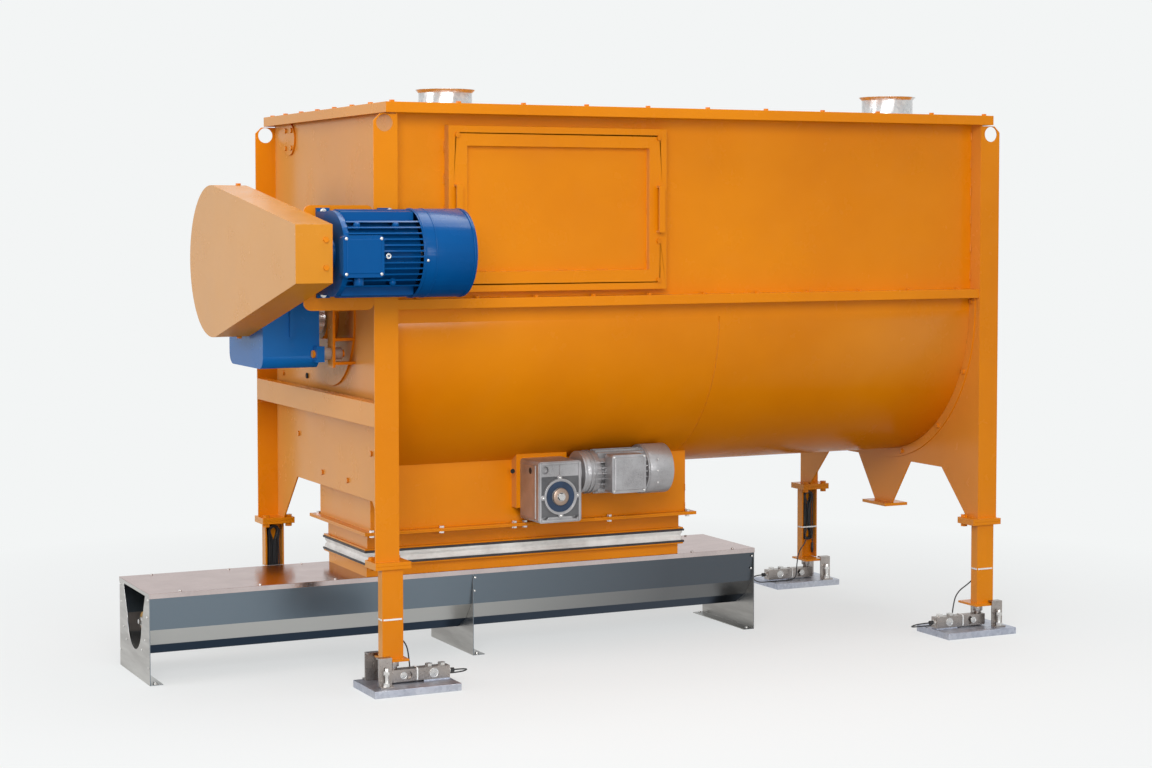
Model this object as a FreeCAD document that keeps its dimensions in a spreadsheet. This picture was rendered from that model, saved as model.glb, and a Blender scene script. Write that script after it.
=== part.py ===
import FreeCAD, Part
import Sketcher
import ast
import math
import os
import re

# Feed mixer: a ribbon mixer on a weighing stand, with a belt drive, a slide gate
# and a discharge conveyor below. Millimetres, Z up. The measuring corner is the
# floor under the cover's front left corner: X runs along the cover, Y to the back.
os.makedirs("parts", exist_ok=True)
doc = FreeCAD.newDocument("feed_mixer")

SIZES = {
    # Cover, walls and trough
    "cover_length": 2500, "cover_width": 1337, "wall_height": 669, "cover_sheet": 4, "rim_height": 36,
    "end_inset": 41, "end_sheet": 6, "wall_sheet": 5, "wall_inset": 76.5, "outlet_rise": 173,
    "ledge_rise": 84, "ledge_reach": 56, "ledge_lip": 34, "ledge_bolts": 11,
    "spigot_radius": 100, "spigot_sheet": 2, "spigot_height": 84, "spigot_rim": 12,
    "left_spigot_along": 491, "left_spigot_across": 668, "right_spigot_end": 222,
    "right_spigot_across": 400, "cover_bolts_along": 11, "cover_bolts_across": 6,
    "bolt_flats": 17, "bolt_head": 7,
    # End walls with their folded legs
    "leg_reach": 81, "leg_inset": 15, "leg_bottom": 446, "leg_foot": 78, "leg_top_gap": 4,
    "leg_corner": 24, "eye_radius": 29, "eye_below_top": 31, "arch_height": 623, "arch_start": 408.5,
    "tongue_top": 191, "tongue_foot": 64.5, "tongue_bottom": 441, "tongue_plate": 12,
    "tongue_plate_width": 110, "bearing_disc": 252, "bearing_disc_sheet": 8,
    "beam_drop": 348, "beam_height": 82, "beam_depth": 40, "blind_radius": 48, "blind_inset": 211,
    "blind_drop": 92, "blind_sheet": 8,
    # Hatch
    "hatch_left": 243, "hatch_rise": 21, "hatch_length": 848, "hatch_height": 574,
    "hatch_frame": 65, "hatch_depth": 33, "hatch_sheet": 5, "tray_depth": 22,
    "collar_bar": 57, "handle_height": 168, "handle_reach": 26,
    "handle_strap": 8, "handle_width": 22, "hatch_bolt": 6, "hatch_bolt_length": 30,
    # Stand: leg extensions, weighing cells and pads
    "stand_along": 18, "stand_across": 47, "head_length": 130, "head_width": 105, "head_plate": 12,
    "channel_width": 76, "channel_depth": 40, "channel_sheet": 6, "foot_length": 84,
    "foot_width": 118, "foot_plate": 8, "foot_height": 106, "foot_shift": 12,
    "pad_length": 316, "pad_width": 215, "pad_height": 25, "pad_left": -76, "pad_across": 37,
    "cell_left": 8, "cell_length": 225, "cell_width": 38, "cell_height": 42, "spacer_height": 5,
    "spacer_length": 96, "button_radius": 20, "button_step": 12, "gland_radius": 8, "gland_length": 22,
    "bracket_length": 48, "bracket_sheet": 6, "bracket_foot": 30, "bracket_lip": 22,
    "bracket_left": -44, "bracket_gap": 5, "stand_bolt": 8, "stand_bolt_flats": 24,
    # Drive: motor, belts, guard and shaft-mounted gearbox
    "motor_along": -250, "motor_body": 270, "motor_height": 158, "motor_rise": 245,
    "motor_core": 118, "motor_fins": 145, "fin_sheet": 5, "fin_pitch": 19, "fin_rows": 12,
    "cowl_length": 191, "cowl_radius": 147, "cowl_sheet": 2.5, "foot_spread": 150, "foot_bar": 45,
    "plate_sheet": 12, "plate_rise": 52, "plate_height": 352,
    "plate_corner": 26, "box_left": -262, "box_length": 140, "box_height": 136, "box_reach": 157,
    "box_lid": 12, "box_round": 14, "motor_shaft_radius": 21, "motor_pulley_radius": 90,
    "pulley_width": 70, "pulley_gap": 27, "belt_top": 13, "belt_depth": 10, "belt_count": 3,
    "belt_pitch": 20, "gear_pulley_radius": 200, "input_rise": 207, "input_radius": 24,
    "guard_left": -412, "guard_depth": 122, "guard_radius": 271, "guard_front": -270,
    "guard_front_height": 189, "guard_front_rise": 2, "guard_sheet": 2.5, "back_sheet": 3,
    "gearbox_depth": 209, "gearbox_half": 200, "gearbox_below": 172, "gearbox_top": 110,
    "gearbox_shoulder": 150, "gearbox_round": 45, "shaft_radius": 57, "shaft_fit": 0.05,
    "bearing_radius": 95, "bearing_length": 38, "buffer_radius": 21.5, "buffer_length": 30,
    "stay_sheet": 10, "stay_width": 56, "stay_offset": 218.5, "stay_drop": 170, "stay_height": 225,
    "buffer_drop": 121, "buffer_bolt": 8,
    # Mixing rotor
    "ribbon_gap": 14, "outer_ribbon_width": 76, "inner_ribbon_radius": 310, "inner_ribbon_width": 62,
    "ribbon_sheet": 8, "ribbon_turns": 2, "ribbon_end_gap": 30, "spoke_radius": 16, "seat_gap": 0.3,
    # Outlet with slide gate and gear motor
    "outlet_left": 85, "outlet_length": 1281, "outlet_half": 270, "outlet_bottom": 490,
    "outlet_sheet": 5, "outlet_flange": 32, "flange_sheet": 6, "port_length": 105, "port_pitch": 230,
    "port_count": 5, "port_half": 150, "port_start": 72, "port_sheet": 5, "gate_sheet": 6,
    "gate_clearance": 0.5, "gate_half": 240, "gate_stroke": 115, "gate_run": 20, "rail_width": 24,
    "pinion_module": 6, "pinion_teeth": 10, "pinion_width": 28, "rack_across": 120,
    "pinion_shaft_radius": 16, "gate_drive_along": 741, "gate_drive_height": 608,
    "worm_reach": 198.5, "worm_depth": 157, "worm_length": 172, "worm_below": 94, "worm_height": 222,
    "worm_round": 12, "worm_offset": 75, "worm_ring": 56, "worm_hub": 29, "worm_neck": 46,
    "worm_neck_length": 30, "mount_sheet": 6, "mount_length": 204, "mount_height": 206,
    "gate_motor_length": 250, "gate_motor_core": 66, "gate_motor_fins": 82, "gate_cowl_length": 97,
    "gate_cowl_radius": 92, "gate_box_length": 139, "gate_box_height": 140, "gate_box_reach": 50,
    "gate_box_round": 10,
    # Flexible cuff and the frames that hold it
    "cuff_left": 82, "cuff_length": 1301, "cuff_half": 224, "cuff_inset": 13, "skirt_bottom": 426,
    "clamp_height": 8, "clamp_width": 12, "cuff_height": 36, "cuff_cloth": 4,
    # Discharge conveyor
    "conveyor_left": -700, "conveyor_length": 2408, "conveyor_half": 206, "conveyor_top": 318,
    "conveyor_sheet": 2.5, "fold_high_half": 188, "fold_high": 190, "fold_low_half": 140,
    "fold_low": 130, "conveyor_floor_half": 60, "conveyor_floor": 85, "lid_sheet": 3, "lid_rim": 15,
    "support_sheet": 3, "support_foot": 44, "middle_support": 1210, "window_half": 150,
    "window_low": 95, "auger_height": 190, "auger_radius": 97,
    "auger_tube": 24, "auger_pitch": 185, "flight_sheet": 5, "auger_start": 60, "auger_end": 30,
    # Cell cables: a tube from each gland to a tied hank in the leg channel
    "cable_radius": 2.5, "cable_run": 58, "cable_side": 52.5, "hank_rise": 146,
    "hank_length": 150, "hank_width": 50, "hank_depth": 28, "hank_corner": 5,
}

# Places that follow from the sizes above
PLACES = {
    "middle": "cover_width / 2",
    "trough_radius": "middle - wall_inset - wall_sheet",
    "axis_height": "outlet_bottom + outlet_rise + wall_sheet + trough_radius",
    "ledge_top": "axis_height + ledge_rise",
    "cover_top": "ledge_top + wall_height",
    "beam_bottom": "axis_height - beam_drop",
    "right_spigot_along": "cover_length - right_spigot_end",
    "blind_across": "cover_width - blind_inset",
    "blind_height": "cover_top - blind_drop",
    "wall_top": "cover_top - cover_sheet",
    "wall_face": "middle - trough_radius - wall_sheet",
    "chamber_left": "end_inset + end_sheet",
    "chamber_right": "cover_length - end_inset - end_sheet",
    "leg_left": "end_inset - leg_reach",
    "leg_top": "cover_top - rim_height - leg_top_gap",
    "ledge_under": "ledge_top - wall_sheet",
    "ledge_face": "wall_face - ledge_reach",
    "hatch_right": "hatch_left + hatch_length",
    "hatch_bottom": "ledge_top + hatch_rise",
    "handle_middle": "hatch_bottom + hatch_height / 2",
    "hatch_top": "hatch_bottom + hatch_height",
    "collar_face": "wall_face - hatch_depth",
    "hatch_face": "collar_face - hatch_sheet",
    "head_top": "leg_bottom",
    "head_under": "leg_bottom - head_plate",
    "extension_top": "leg_bottom - 2 * head_plate",
    "foot_top": "foot_height + foot_plate",
    "cell_bottom": "pad_height + spacer_height",
    "cell_top": "cell_bottom + cell_height",
    "cell_right": "cell_left + cell_length",
    "motor_across": "leg_inset - motor_height",
    "motor_axis": "axis_height + motor_rise",
    "plate_bottom": "axis_height + plate_rise",
    "guard_front_middle": "motor_axis + guard_front_rise",
    "stay_across": "middle - stay_offset",
    "stay_bottom": "axis_height - stay_drop",
    "buffer_height": "axis_height - buffer_drop",
    "motor_right": "motor_along + motor_body",
    "box_front": "motor_across - box_reach",
    "input_height": "axis_height + input_rise",
    "guard_right": "guard_left + guard_depth",
    "back_right": "guard_right + back_sheet",
    "gearbox_right": "back_right + gearbox_depth",
    "plate_left": "back_right",
    "plate_right": "leg_left",
    "pulley_left": "guard_left + pulley_gap",
    "pulley_right": "pulley_left + pulley_width",
    "stay_left_face": "gearbox_right + 4",
    "outer_radius": "trough_radius - ribbon_gap",
    "ribbon_span": "chamber_right - chamber_left - 2 * ribbon_end_gap",
    "auger_run": "conveyor_length - auger_start - 60",
    "outlet_right": "outlet_left + outlet_length",
    "pitch_radius": "pinion_module * pinion_teeth / 2",
    "rack_pitch_line": "gate_drive_height + pitch_radius",
    "rack_root": "rack_pitch_line + 1.25 * pinion_module",
    "gate_bottom": "rack_root + 5",
    "gate_top": "gate_bottom + gate_sheet",
    "port_bottom": "gate_top + gate_clearance",
    "port_top": "port_bottom + port_sheet",
    "outlet_front": "middle - outlet_half",
    "worm_front": "outlet_front - worm_reach",
    "gate_box_front": "worm_front - gate_box_reach",
    "mount_front": "worm_front + worm_depth",
    "worm_axis_across": "worm_front + worm_depth / 2",
    "worm_axis_height": "gate_drive_height + worm_offset",
    "worm_right": "gate_drive_along + worm_length / 2",
    "gate_motor_left": "worm_right + worm_neck_length",
    "gate_cowl_left": "gate_motor_left + gate_motor_length",
    "cuff_right": "cuff_left + cuff_length",
    "cuff_top": "skirt_bottom - flange_sheet - clamp_height",
    "cuff_bottom": "cuff_top - cuff_height",
    "frame_top": "cuff_bottom - clamp_height",
    "conveyor_right": "conveyor_left + conveyor_length",
    "lid_top": "conveyor_top + lid_sheet",
    "middle_support_left": "conveyor_left + middle_support",
    "channel_back": "leg_inset - channel_sheet - 4 + channel_depth",
    "foot_right": "stand_along + foot_shift + foot_length / 2",
    "hank_across": "channel_back - 19",
    "hank_bottom": "foot_top + hank_rise",
    "hank_side": "stand_along + hank_width / 2 - cable_radius - 1",
    "hank_face": "hank_across + hank_depth / 2 - cable_radius - 1",
    "cell_middle": "cell_bottom + cell_height / 2",
    "cable_start": "cell_right + gland_length",
    "origin_along": "(conveyor_left - support_sheet + cover_length - pad_left) / 2",
    "origin_across": "(box_front + cover_width - pad_across + pad_width / 2) / 2",
}


def fill_sheet(name, values):
    """A sheet with one alias per row; a text that starts with = follows other cells."""
    sheet = doc.addObject("Spreadsheet::Sheet", name)
    for row, (alias, value) in enumerate(values.items(), 1):
        sheet.set(f"A{row}", alias)
        sheet.set(f"B{row}", str(value))
        sheet.setAlias(f"B{row}", alias)
    doc.recompute()
    return sheet


def linked(text):
    """The same expression with every size and place written as its cell."""
    def cell(match):
        word = match.group(0)
        if word in SIZES:
            return "sizes." + word
        return "places." + word if word in PLACES else word
    return re.sub(r"[a-z_]+", cell, str(text))


sizes = fill_sheet("sizes", SIZES)
places = fill_sheet("places", {name: "=" + linked(text) for name, text in PLACES.items()})
NODES = {}


def size(name):
    """The present value of a size or place, for shapes that are worked out by point."""
    return float((sizes if name in SIZES else places).get(name))


def worth(text):
    """The present value of an expression of sizes and places."""
    def value(item):
        if isinstance(item, ast.Constant):
            return float(item.value)
        if isinstance(item, ast.Name):
            return size(item.id)
        if isinstance(item, ast.UnaryOp):
            return -value(item.operand)
        if isinstance(item, ast.Call):
            return math.sqrt(value(item.args[0]))
        left, right = value(item.left), value(item.right)
        steps = {ast.Add: left + right, ast.Sub: left - right, ast.Mult: left * right}
        return left / right if isinstance(item.op, ast.Div) else steps[type(item.op)]
    return value(ast.parse(str(text)).body[0].value)


def bind(item, field, text):
    item.setExpression(field, linked(text))


def less(low, high):
    return f"({high}) - ({low})"


def turned(text, along):
    """A place along the length, seen from the left end or from the right end."""
    return f"({text})" if along == "left" else f"cover_length - ({text})"


def faced(text, across):
    """A place across the width, seen from the front or from the rear."""
    return f"({text})" if across == "front" else f"cover_width - ({text})"


def span_along(low, high, along):
    return (turned(low, along), turned(high, along))[::1 if along == "left" else -1]


def span_across(low, high, across):
    return (faced(low, across), faced(high, across))[::1 if across == "front" else -1]


def block(name, x, y, z):
    """A rectangular block between pairs of places."""
    item = doc.addObject("Part::Box", name)
    for axis, side, (low, high) in zip("xyz", ("Length", "Width", "Height"), (x, y, z)):
        bind(item, "Placement.Base." + axis, low)
        bind(item, side, less(low, high))
    return item


TURNS = {
    "x": FreeCAD.Rotation(FreeCAD.Vector(0, 1, 0), 90),
    "y": FreeCAD.Rotation(FreeCAD.Vector(1, 0, 0), -90),
    "z": FreeCAD.Rotation(),
}


def upright(item, axis, centre, low):
    """Stand a round piece on its axis: centre gives the two places across the axis."""
    item.Placement = FreeCAD.Placement(FreeCAD.Vector(), TURNS[axis])
    other = [letter for letter in "xyz" if letter != axis]
    bind(item, "Placement.Base." + axis, low)
    for letter, text in zip(other, centre):
        bind(item, "Placement.Base." + letter, text)
    return item


def rod(name, axis, centre, low, high, radius):
    item = doc.addObject("Part::Cylinder", name)
    bind(item, "Radius", radius)
    bind(item, "Height", less(low, high))
    return upright(item, axis, centre, low)


def hexagon(name, axis, centre, low, high, flats):
    """A bolt head or nut, by its width across flats."""
    item = doc.addObject("Part::Prism", name)
    item.Polygon = 6
    bind(item, "Circumradius", f"({flats}) / sqrt(3)")
    bind(item, "Height", less(low, high))
    return upright(item, axis, centre, low)


def cut(name, base, *tools):
    tool = tools[0] if len(tools) == 1 else group(name + "_tools", tools)
    item = doc.addObject("Part::Cut", name)
    item.Base, item.Tool = base, tool
    return item


def fuse(name, *pieces):
    item = doc.addObject("Part::MultiFuse", name)
    item.Shapes = list(pieces)
    return item


def group(name, pieces):
    item = doc.addObject("Part::Compound", name)
    item.Links = list(pieces)
    return item


def fixed(name, shape):
    """A piece whose shape is worked out point by point from the sheet."""
    item = doc.addObject("Part::Feature", name)
    item.Shape = shape
    return item


def node(name, item):
    """Name a finished sub-part and set it in the part's own frame."""
    item.Label = name
    for axis, text in (("x", "-origin_along"), ("y", "-origin_across")):
        bind(item, "Placement.Base." + axis, text)
    NODES[name] = item
    return item


PLANES = {"yz": "YZ_Plane", "xz": "XZ_Plane", "xy": "XY_Plane"}


def sketch_on(body, plane, offset, name):
    sketch = body.newObject("Sketcher::SketchObject", name)
    origin = [item for item in body.Origin.OriginFeatures if item.Role == PLANES[plane]][0]
    sketch.AttachmentSupport = [(origin, "")]
    sketch.MapMode = "FlatFace"
    # The XZ plane faces the front, so its offset runs the other way
    bind(sketch, "AttachmentOffset.Base.z", f"-({offset})" if plane == "xz" else offset)
    return sketch


def hold(sketch, kind, geometry, point, text):
    """Fix one coordinate of a point to a place."""
    row = sketch.addConstraint(Sketcher.Constraint(kind, -1, 1, geometry, point, worth(text)))
    bind(sketch, f"Constraints[{row}]", text)


def draw(sketch, points, start):
    """A closed outline through (across, up) places. A corner with a third entry begins
    an arc to the next corner round that centre, with a fourth saying which way."""
    count = len(points)
    ends = [start[index] for index in range(count)]
    first = sketch.GeometryCount
    for index, point in enumerate(points):
        here, there = ends[index], ends[(index + 1) % count]
        if len(point) == 2:
            sketch.addGeometry(Part.LineSegment(here, there))
            continue
        middle = start["centres"][index]
        low = math.atan2(here.y - middle.y, here.x - middle.x)
        high = math.atan2(there.y - middle.y, there.x - middle.x)
        if point[4] == "back":
            low, high = high, low
        if high <= low:
            high += 2 * math.pi
        circle = Part.Circle(middle, FreeCAD.Vector(0, 0, 1), (here - middle).Length)
        sketch.addGeometry(Part.ArcOfCircle(circle, low, high))
    for index, point in enumerate(points):
        ends_back = len(point) > 2 and point[4] == "back"
        following = points[(index + 1) % count]
        next_back = len(following) > 2 and following[4] == "back"
        this, after = first + index, first + (index + 1) % count
        sketch.addConstraint(Sketcher.Constraint(
            "Coincident", this, 1 if ends_back else 2, after, 2 if next_back else 1))
    for index, point in enumerate(points):
        starts_at = 2 if len(point) > 2 and point[4] == "back" else 1
        hold(sketch, "DistanceX", first + index, starts_at, point[0])
        hold(sketch, "DistanceY", first + index, starts_at, point[1])
        if len(point) > 2:
            row = 2 if start["upright"][index] else 3
            hold(sketch, "DistanceX" if row == 2 else "DistanceY", first + index, 3, point[row])


def outline(body, plane, offset, points, name, holes=()):
    """A sketch of one outline and round holes (across, up, radius)."""
    sketch = sketch_on(body, plane, offset, name)
    start = {index: FreeCAD.Vector(worth(p[0]), worth(p[1]), 0) for index, p in enumerate(points)}
    start["centres"], start["upright"] = {}, {}
    for index, point in enumerate(points):
        if len(point) > 2:
            start["centres"][index] = FreeCAD.Vector(worth(point[2]), worth(point[3]), 0)
            chord = start[(index + 1) % len(points)] - start[index]
            start["upright"][index] = abs(chord.y) > abs(chord.x)
    draw(sketch, points, start)
    for across, up, radius in holes:
        centre = FreeCAD.Vector(worth(across), worth(up), 0)
        circle = Part.Circle(centre, FreeCAD.Vector(0, 0, 1), worth(radius))
        ring = sketch.addGeometry(circle)
        hold(sketch, "DistanceX", ring, 3, across)
        hold(sketch, "DistanceY", ring, 3, up)
        row = sketch.addConstraint(Sketcher.Constraint("Radius", ring, worth(radius)))
        bind(sketch, f"Constraints[{row}]", radius)
    return sketch


def pad(body, plane, low, high, points, name, holes=()):
    """Pad an outline between two places along the plane's axis."""
    base = high if plane == "xz" else low
    sketch = outline(body, plane, base, points, name + "_outline", holes)
    feature = body.newObject("PartDesign::Pad", name)
    feature.Profile = sketch
    bind(feature, "Length", less(low, high))
    doc.recompute()
    return feature


def new_body(name):
    return doc.addObject("PartDesign::Body", name)


def rectangle(across, up):
    return [(across[0], up[0]), (across[1], up[0]), (across[1], up[1]), (across[0], up[1])]


def round_edges(body, axis, radius, name, wanted=lambda point: True):
    """Round the straight edges that run along one axis."""
    base = body.Tip
    names = []
    for index, edge in enumerate(base.Shape.Edges, 1):
        if edge.Curve.TypeId != "Part::GeomLine" or len(edge.Vertexes) != 2:
            continue
        run = edge.Vertexes[1].Point - edge.Vertexes[0].Point
        if abs(getattr(run, axis)) > 0.999 * run.Length and wanted(edge.CenterOfMass):
            names.append(f"Edge{index}")
    feature = body.newObject("PartDesign::Fillet", name)
    feature.Base = (base, names)
    bind(feature, "Radius", radius)
    doc.recompute()
    return feature


def hollow(body, sheet, name, is_open):
    """Turn a solid into a sheet shell, open at the faces picked by their outward side."""
    base = body.Tip
    names = []
    for index, face in enumerate(base.Shape.Faces, 1):
        where = face.normalAt(*[sum(pair) / 2
                                for pair in (face.ParameterRange[:2], face.ParameterRange[2:])])
        if is_open(where):
            names.append(f"Face{index}")
    feature = body.newObject("PartDesign::Thickness", name)
    feature.Base = (base, names)
    feature.Reversed = True
    feature.Join = 1
    bind(feature, "Value", sheet)
    doc.recompute()
    return feature


def revolve(body, axis_plane, points, name, axis_name):
    """Turn a half profile round one of the body's own axes."""
    sketch = outline(body, axis_plane, "0", points, name + "_profile")
    feature = body.newObject("PartDesign::Revolution", name)
    feature.Profile = sketch
    feature.ReferenceAxis = (sketch, [axis_name])
    feature.Angle = 360
    doc.recompute()
    return feature


# End walls: one plate each, folded out to legs, with a beam and a bearing disc. The
# right one also has a tongue with a foot; the left one is open over the outlet
def make_end_wall(along):
    name = "end_wall_" + along
    body = new_body(name + "_body")
    half = "middle - leg_inset"
    halves = [
        (half, "wall_top"), (half, "leg_bottom"), (f"{half} - leg_foot", "leg_bottom"),
        ("arch_start", "arch_height"),
    ]
    if along == "right":
        halves += [("tongue_top", "arch_height"), ("tongue_foot", "tongue_bottom")]
    points = [(f"middle - ({a})", b) for a, b in halves]
    points += [(f"middle + ({a})", b) for a, b in reversed(halves)]
    wall = span_along("end_inset", "chamber_left", along)
    pad(body, "yz", *wall, points, name + "_plate", [("middle", "axis_height", "shaft_radius + 3")])
    for across in ("front", "rear"):
        leg = [
            (turned("leg_left + leg_corner", along), "leg_top"),
            (turned("leg_left", along), "leg_top - leg_corner"),
            (turned("leg_left", along), "leg_bottom"), (turned("chamber_left", along), "leg_bottom"),
            (turned("chamber_left", along), "leg_top"),
        ]
        eye = [(turned("leg_left + leg_reach / 2", along), "leg_top - eye_below_top", "eye_radius")]
        fold = span_across("leg_inset", "leg_inset + end_sheet", across)
        pad(body, "xz", *fold, leg, f"{name}_{across}_leg", eye)
        head = rectangle(span_along("stand_along - head_length / 2", "stand_along + head_length / 2", along),
                         span_across("stand_across - head_width / 2", "stand_across + head_width / 2",
                                     across))
        pad(body, "xy", "head_under", "head_top", head, f"{name}_{across}_head")
    deep = turned("leg_left + beam_depth", along)
    outer, inner = turned("leg_left", along), turned("leg_left + end_sheet", along)
    top = "beam_bottom + beam_height"
    beam = [(outer, "beam_bottom"), (deep, "beam_bottom"), (deep, "beam_bottom + end_sheet"),
            (inner, "beam_bottom + end_sheet"), (inner, f"{top} - end_sheet"), (deep, f"{top} - end_sheet"),
            (deep, top), (outer, top)]
    pad(body, "xz", "leg_inset + end_sheet / 2", "cover_width - leg_inset - end_sheet / 2", beam,
        name + "_beam")
    if along == "right":
        foot = rectangle(span_along("end_inset - tongue_plate_width / 2",
                                    "end_inset + tongue_plate_width / 2", along),
                         ("middle - tongue_foot - 20", "middle + tongue_foot + 20"))
        pad(body, "xy", "tongue_bottom - tongue_plate", "tongue_bottom", foot, name + "_foot")
    disc = span_along("end_inset - bearing_disc_sheet", "chamber_left", along)
    sketch = sketch_on(body, "yz", disc[0], name + "_disc_outline")
    for radius in ("bearing_disc", "shaft_radius + 3"):
        ring = sketch.addGeometry(Part.Circle(
            FreeCAD.Vector(size("middle"), size("axis_height"), 0), FreeCAD.Vector(0, 0, 1), worth(radius)))
        hold(sketch, "DistanceX", ring, 3, "middle")
        hold(sketch, "DistanceY", ring, 3, "axis_height")
        row = sketch.addConstraint(Sketcher.Constraint("Radius", ring, worth(radius)))
        bind(sketch, f"Constraints[{row}]", radius)
    feature = body.newObject("PartDesign::Pad", name + "_disc")
    feature.Profile = sketch
    bind(feature, "Length", less(*disc))
    node(name, body)


def port_blocks(name, low, high, shift="0"):
    """The row of discharge ports, as blocks between two heights."""
    row = []
    for index in range(int(size("port_count"))):
        start = f"outlet_left + port_start + {index} * port_pitch + ({shift})"
        row.append(block(f"{name}_{index}", (start, f"{start} + port_length"),
                         ("middle - port_half", "middle + port_half"), (low, high)))
    return row


def make_trough():
    body = new_body("trough_body")
    inner, outer = "trough_radius", "trough_radius + wall_sheet"
    flange = "ledge_face + wall_sheet + 0.3"
    top, under = "ledge_under", "ledge_under - wall_sheet"
    centre = ("middle", "axis_height")
    points = [
        (flange, top), (f"middle - {inner}", top), (f"middle - {inner}", "axis_height", *centre, "round"),
        (f"middle + {inner}", "axis_height"), (f"middle + {inner}", top), (f"cover_width - ({flange})", top),
        (f"cover_width - ({flange})", under), (f"middle + {outer}", under),
        (f"middle + {outer}", "axis_height", *centre, "back"), (f"middle - ({outer})", "axis_height"),
        (f"middle - ({outer})", under), (flange, under),
    ]
    pad(body, "yz", "chamber_left", "chamber_right", points, "trough_sheet")
    low = "axis_height - trough_radius - wall_sheet - 5"
    high = "axis_height - trough_radius + 60"
    node("trough_shell", cut("trough_cut", body, *port_blocks("trough_port", low, high)))


def make_long_wall(across):
    name = across + "_wall"
    body = new_body(name + "_body")
    face, lip = "wall_face", "ledge_face"
    points = [(faced(a, across), b) for a, b in (
        (face, "wall_top"), (face, "ledge_top"), (lip, "ledge_top"), (lip, "ledge_top - ledge_lip"),
        (f"{lip} + wall_sheet", "ledge_top - ledge_lip"), (f"{lip} + wall_sheet", "ledge_under"),
        (f"{face} + wall_sheet", "ledge_under"), (f"{face} + wall_sheet", "wall_top"))]
    pad(body, "yz", "chamber_left", "chamber_right", points, name + "_sheet")
    if across == "rear":
        return node("back_wall", body)
    opening = block("hatch_opening", ("hatch_left + collar_bar", "hatch_right - collar_bar"),
                    ("wall_face - 5", "wall_face + wall_sheet + 5"),
                    ("hatch_bottom + collar_bar", "hatch_top - collar_bar"))
    return node("front_wall", cut("front_wall_cut", body, opening))


def spigot_centres():
    return [("left_spigot_along", "left_spigot_across"), ("right_spigot_along", "right_spigot_across")]


def make_cover():
    cap = block("cover_cap", ("0", "cover_length"), ("0", "cover_width"),
                ("cover_top - rim_height", "cover_top"))
    inside = block("cover_inside", ("cover_sheet", "cover_length - cover_sheet"),
                   ("cover_sheet", "cover_width - cover_sheet"), ("cover_top - rim_height - 5", "wall_top"))
    holes = [rod(f"cover_hole_{i}", "z", centre, "wall_top - 5", "cover_top + 5",
                 "spigot_radius - spigot_sheet")
             for i, centre in enumerate(spigot_centres())]
    node("top_cover", cut("cover_sheet_metal", cap, inside, *holes))


def make_spigots():
    pieces = []
    rim_top = "cover_top + spigot_height"
    for index, (along, across) in enumerate(spigot_centres()):
        tube = rod(f"spigot_tube_{index}", "z", (along, across), "cover_top", rim_top, "spigot_radius")
        base = rod(f"spigot_base_{index}", "z", (along, across), "cover_top", "cover_top + 3",
                   "spigot_radius + 22")
        cone = doc.addObject("Part::Cone", f"spigot_flare_{index}")
        bind(cone, "Radius1", "spigot_radius")
        bind(cone, "Radius2", "spigot_radius + spigot_rim")
        bind(cone, "Height", "spigot_rim")
        upright(cone, "z", (along, across), f"{rim_top} - spigot_rim")
        bore = rod(f"spigot_bore_{index}", "z", (along, across), "cover_top - 5", f"{rim_top} + 5",
                   "spigot_radius - spigot_sheet")
        outside = fuse(f"spigot_outside_{index}", tube, base, cone)
        pieces.append(cut(f"spigot_{index}", outside, bore))
    node("inlet_spigots", group("spigots", pieces))


def hatch_bolt_places():
    """Bolts in the four corners of the hatch frame and halfway up its two sides."""
    edge = "hatch_frame / 2"
    rows = [f"hatch_bottom + {edge}", f"hatch_top - {edge}", "hatch_bottom + hatch_height * 0.3"]
    places_found = [(f"hatch_left + {edge}", row) for row in rows]
    return places_found + [(f"hatch_right - {edge}", row) for row in rows]


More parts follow.
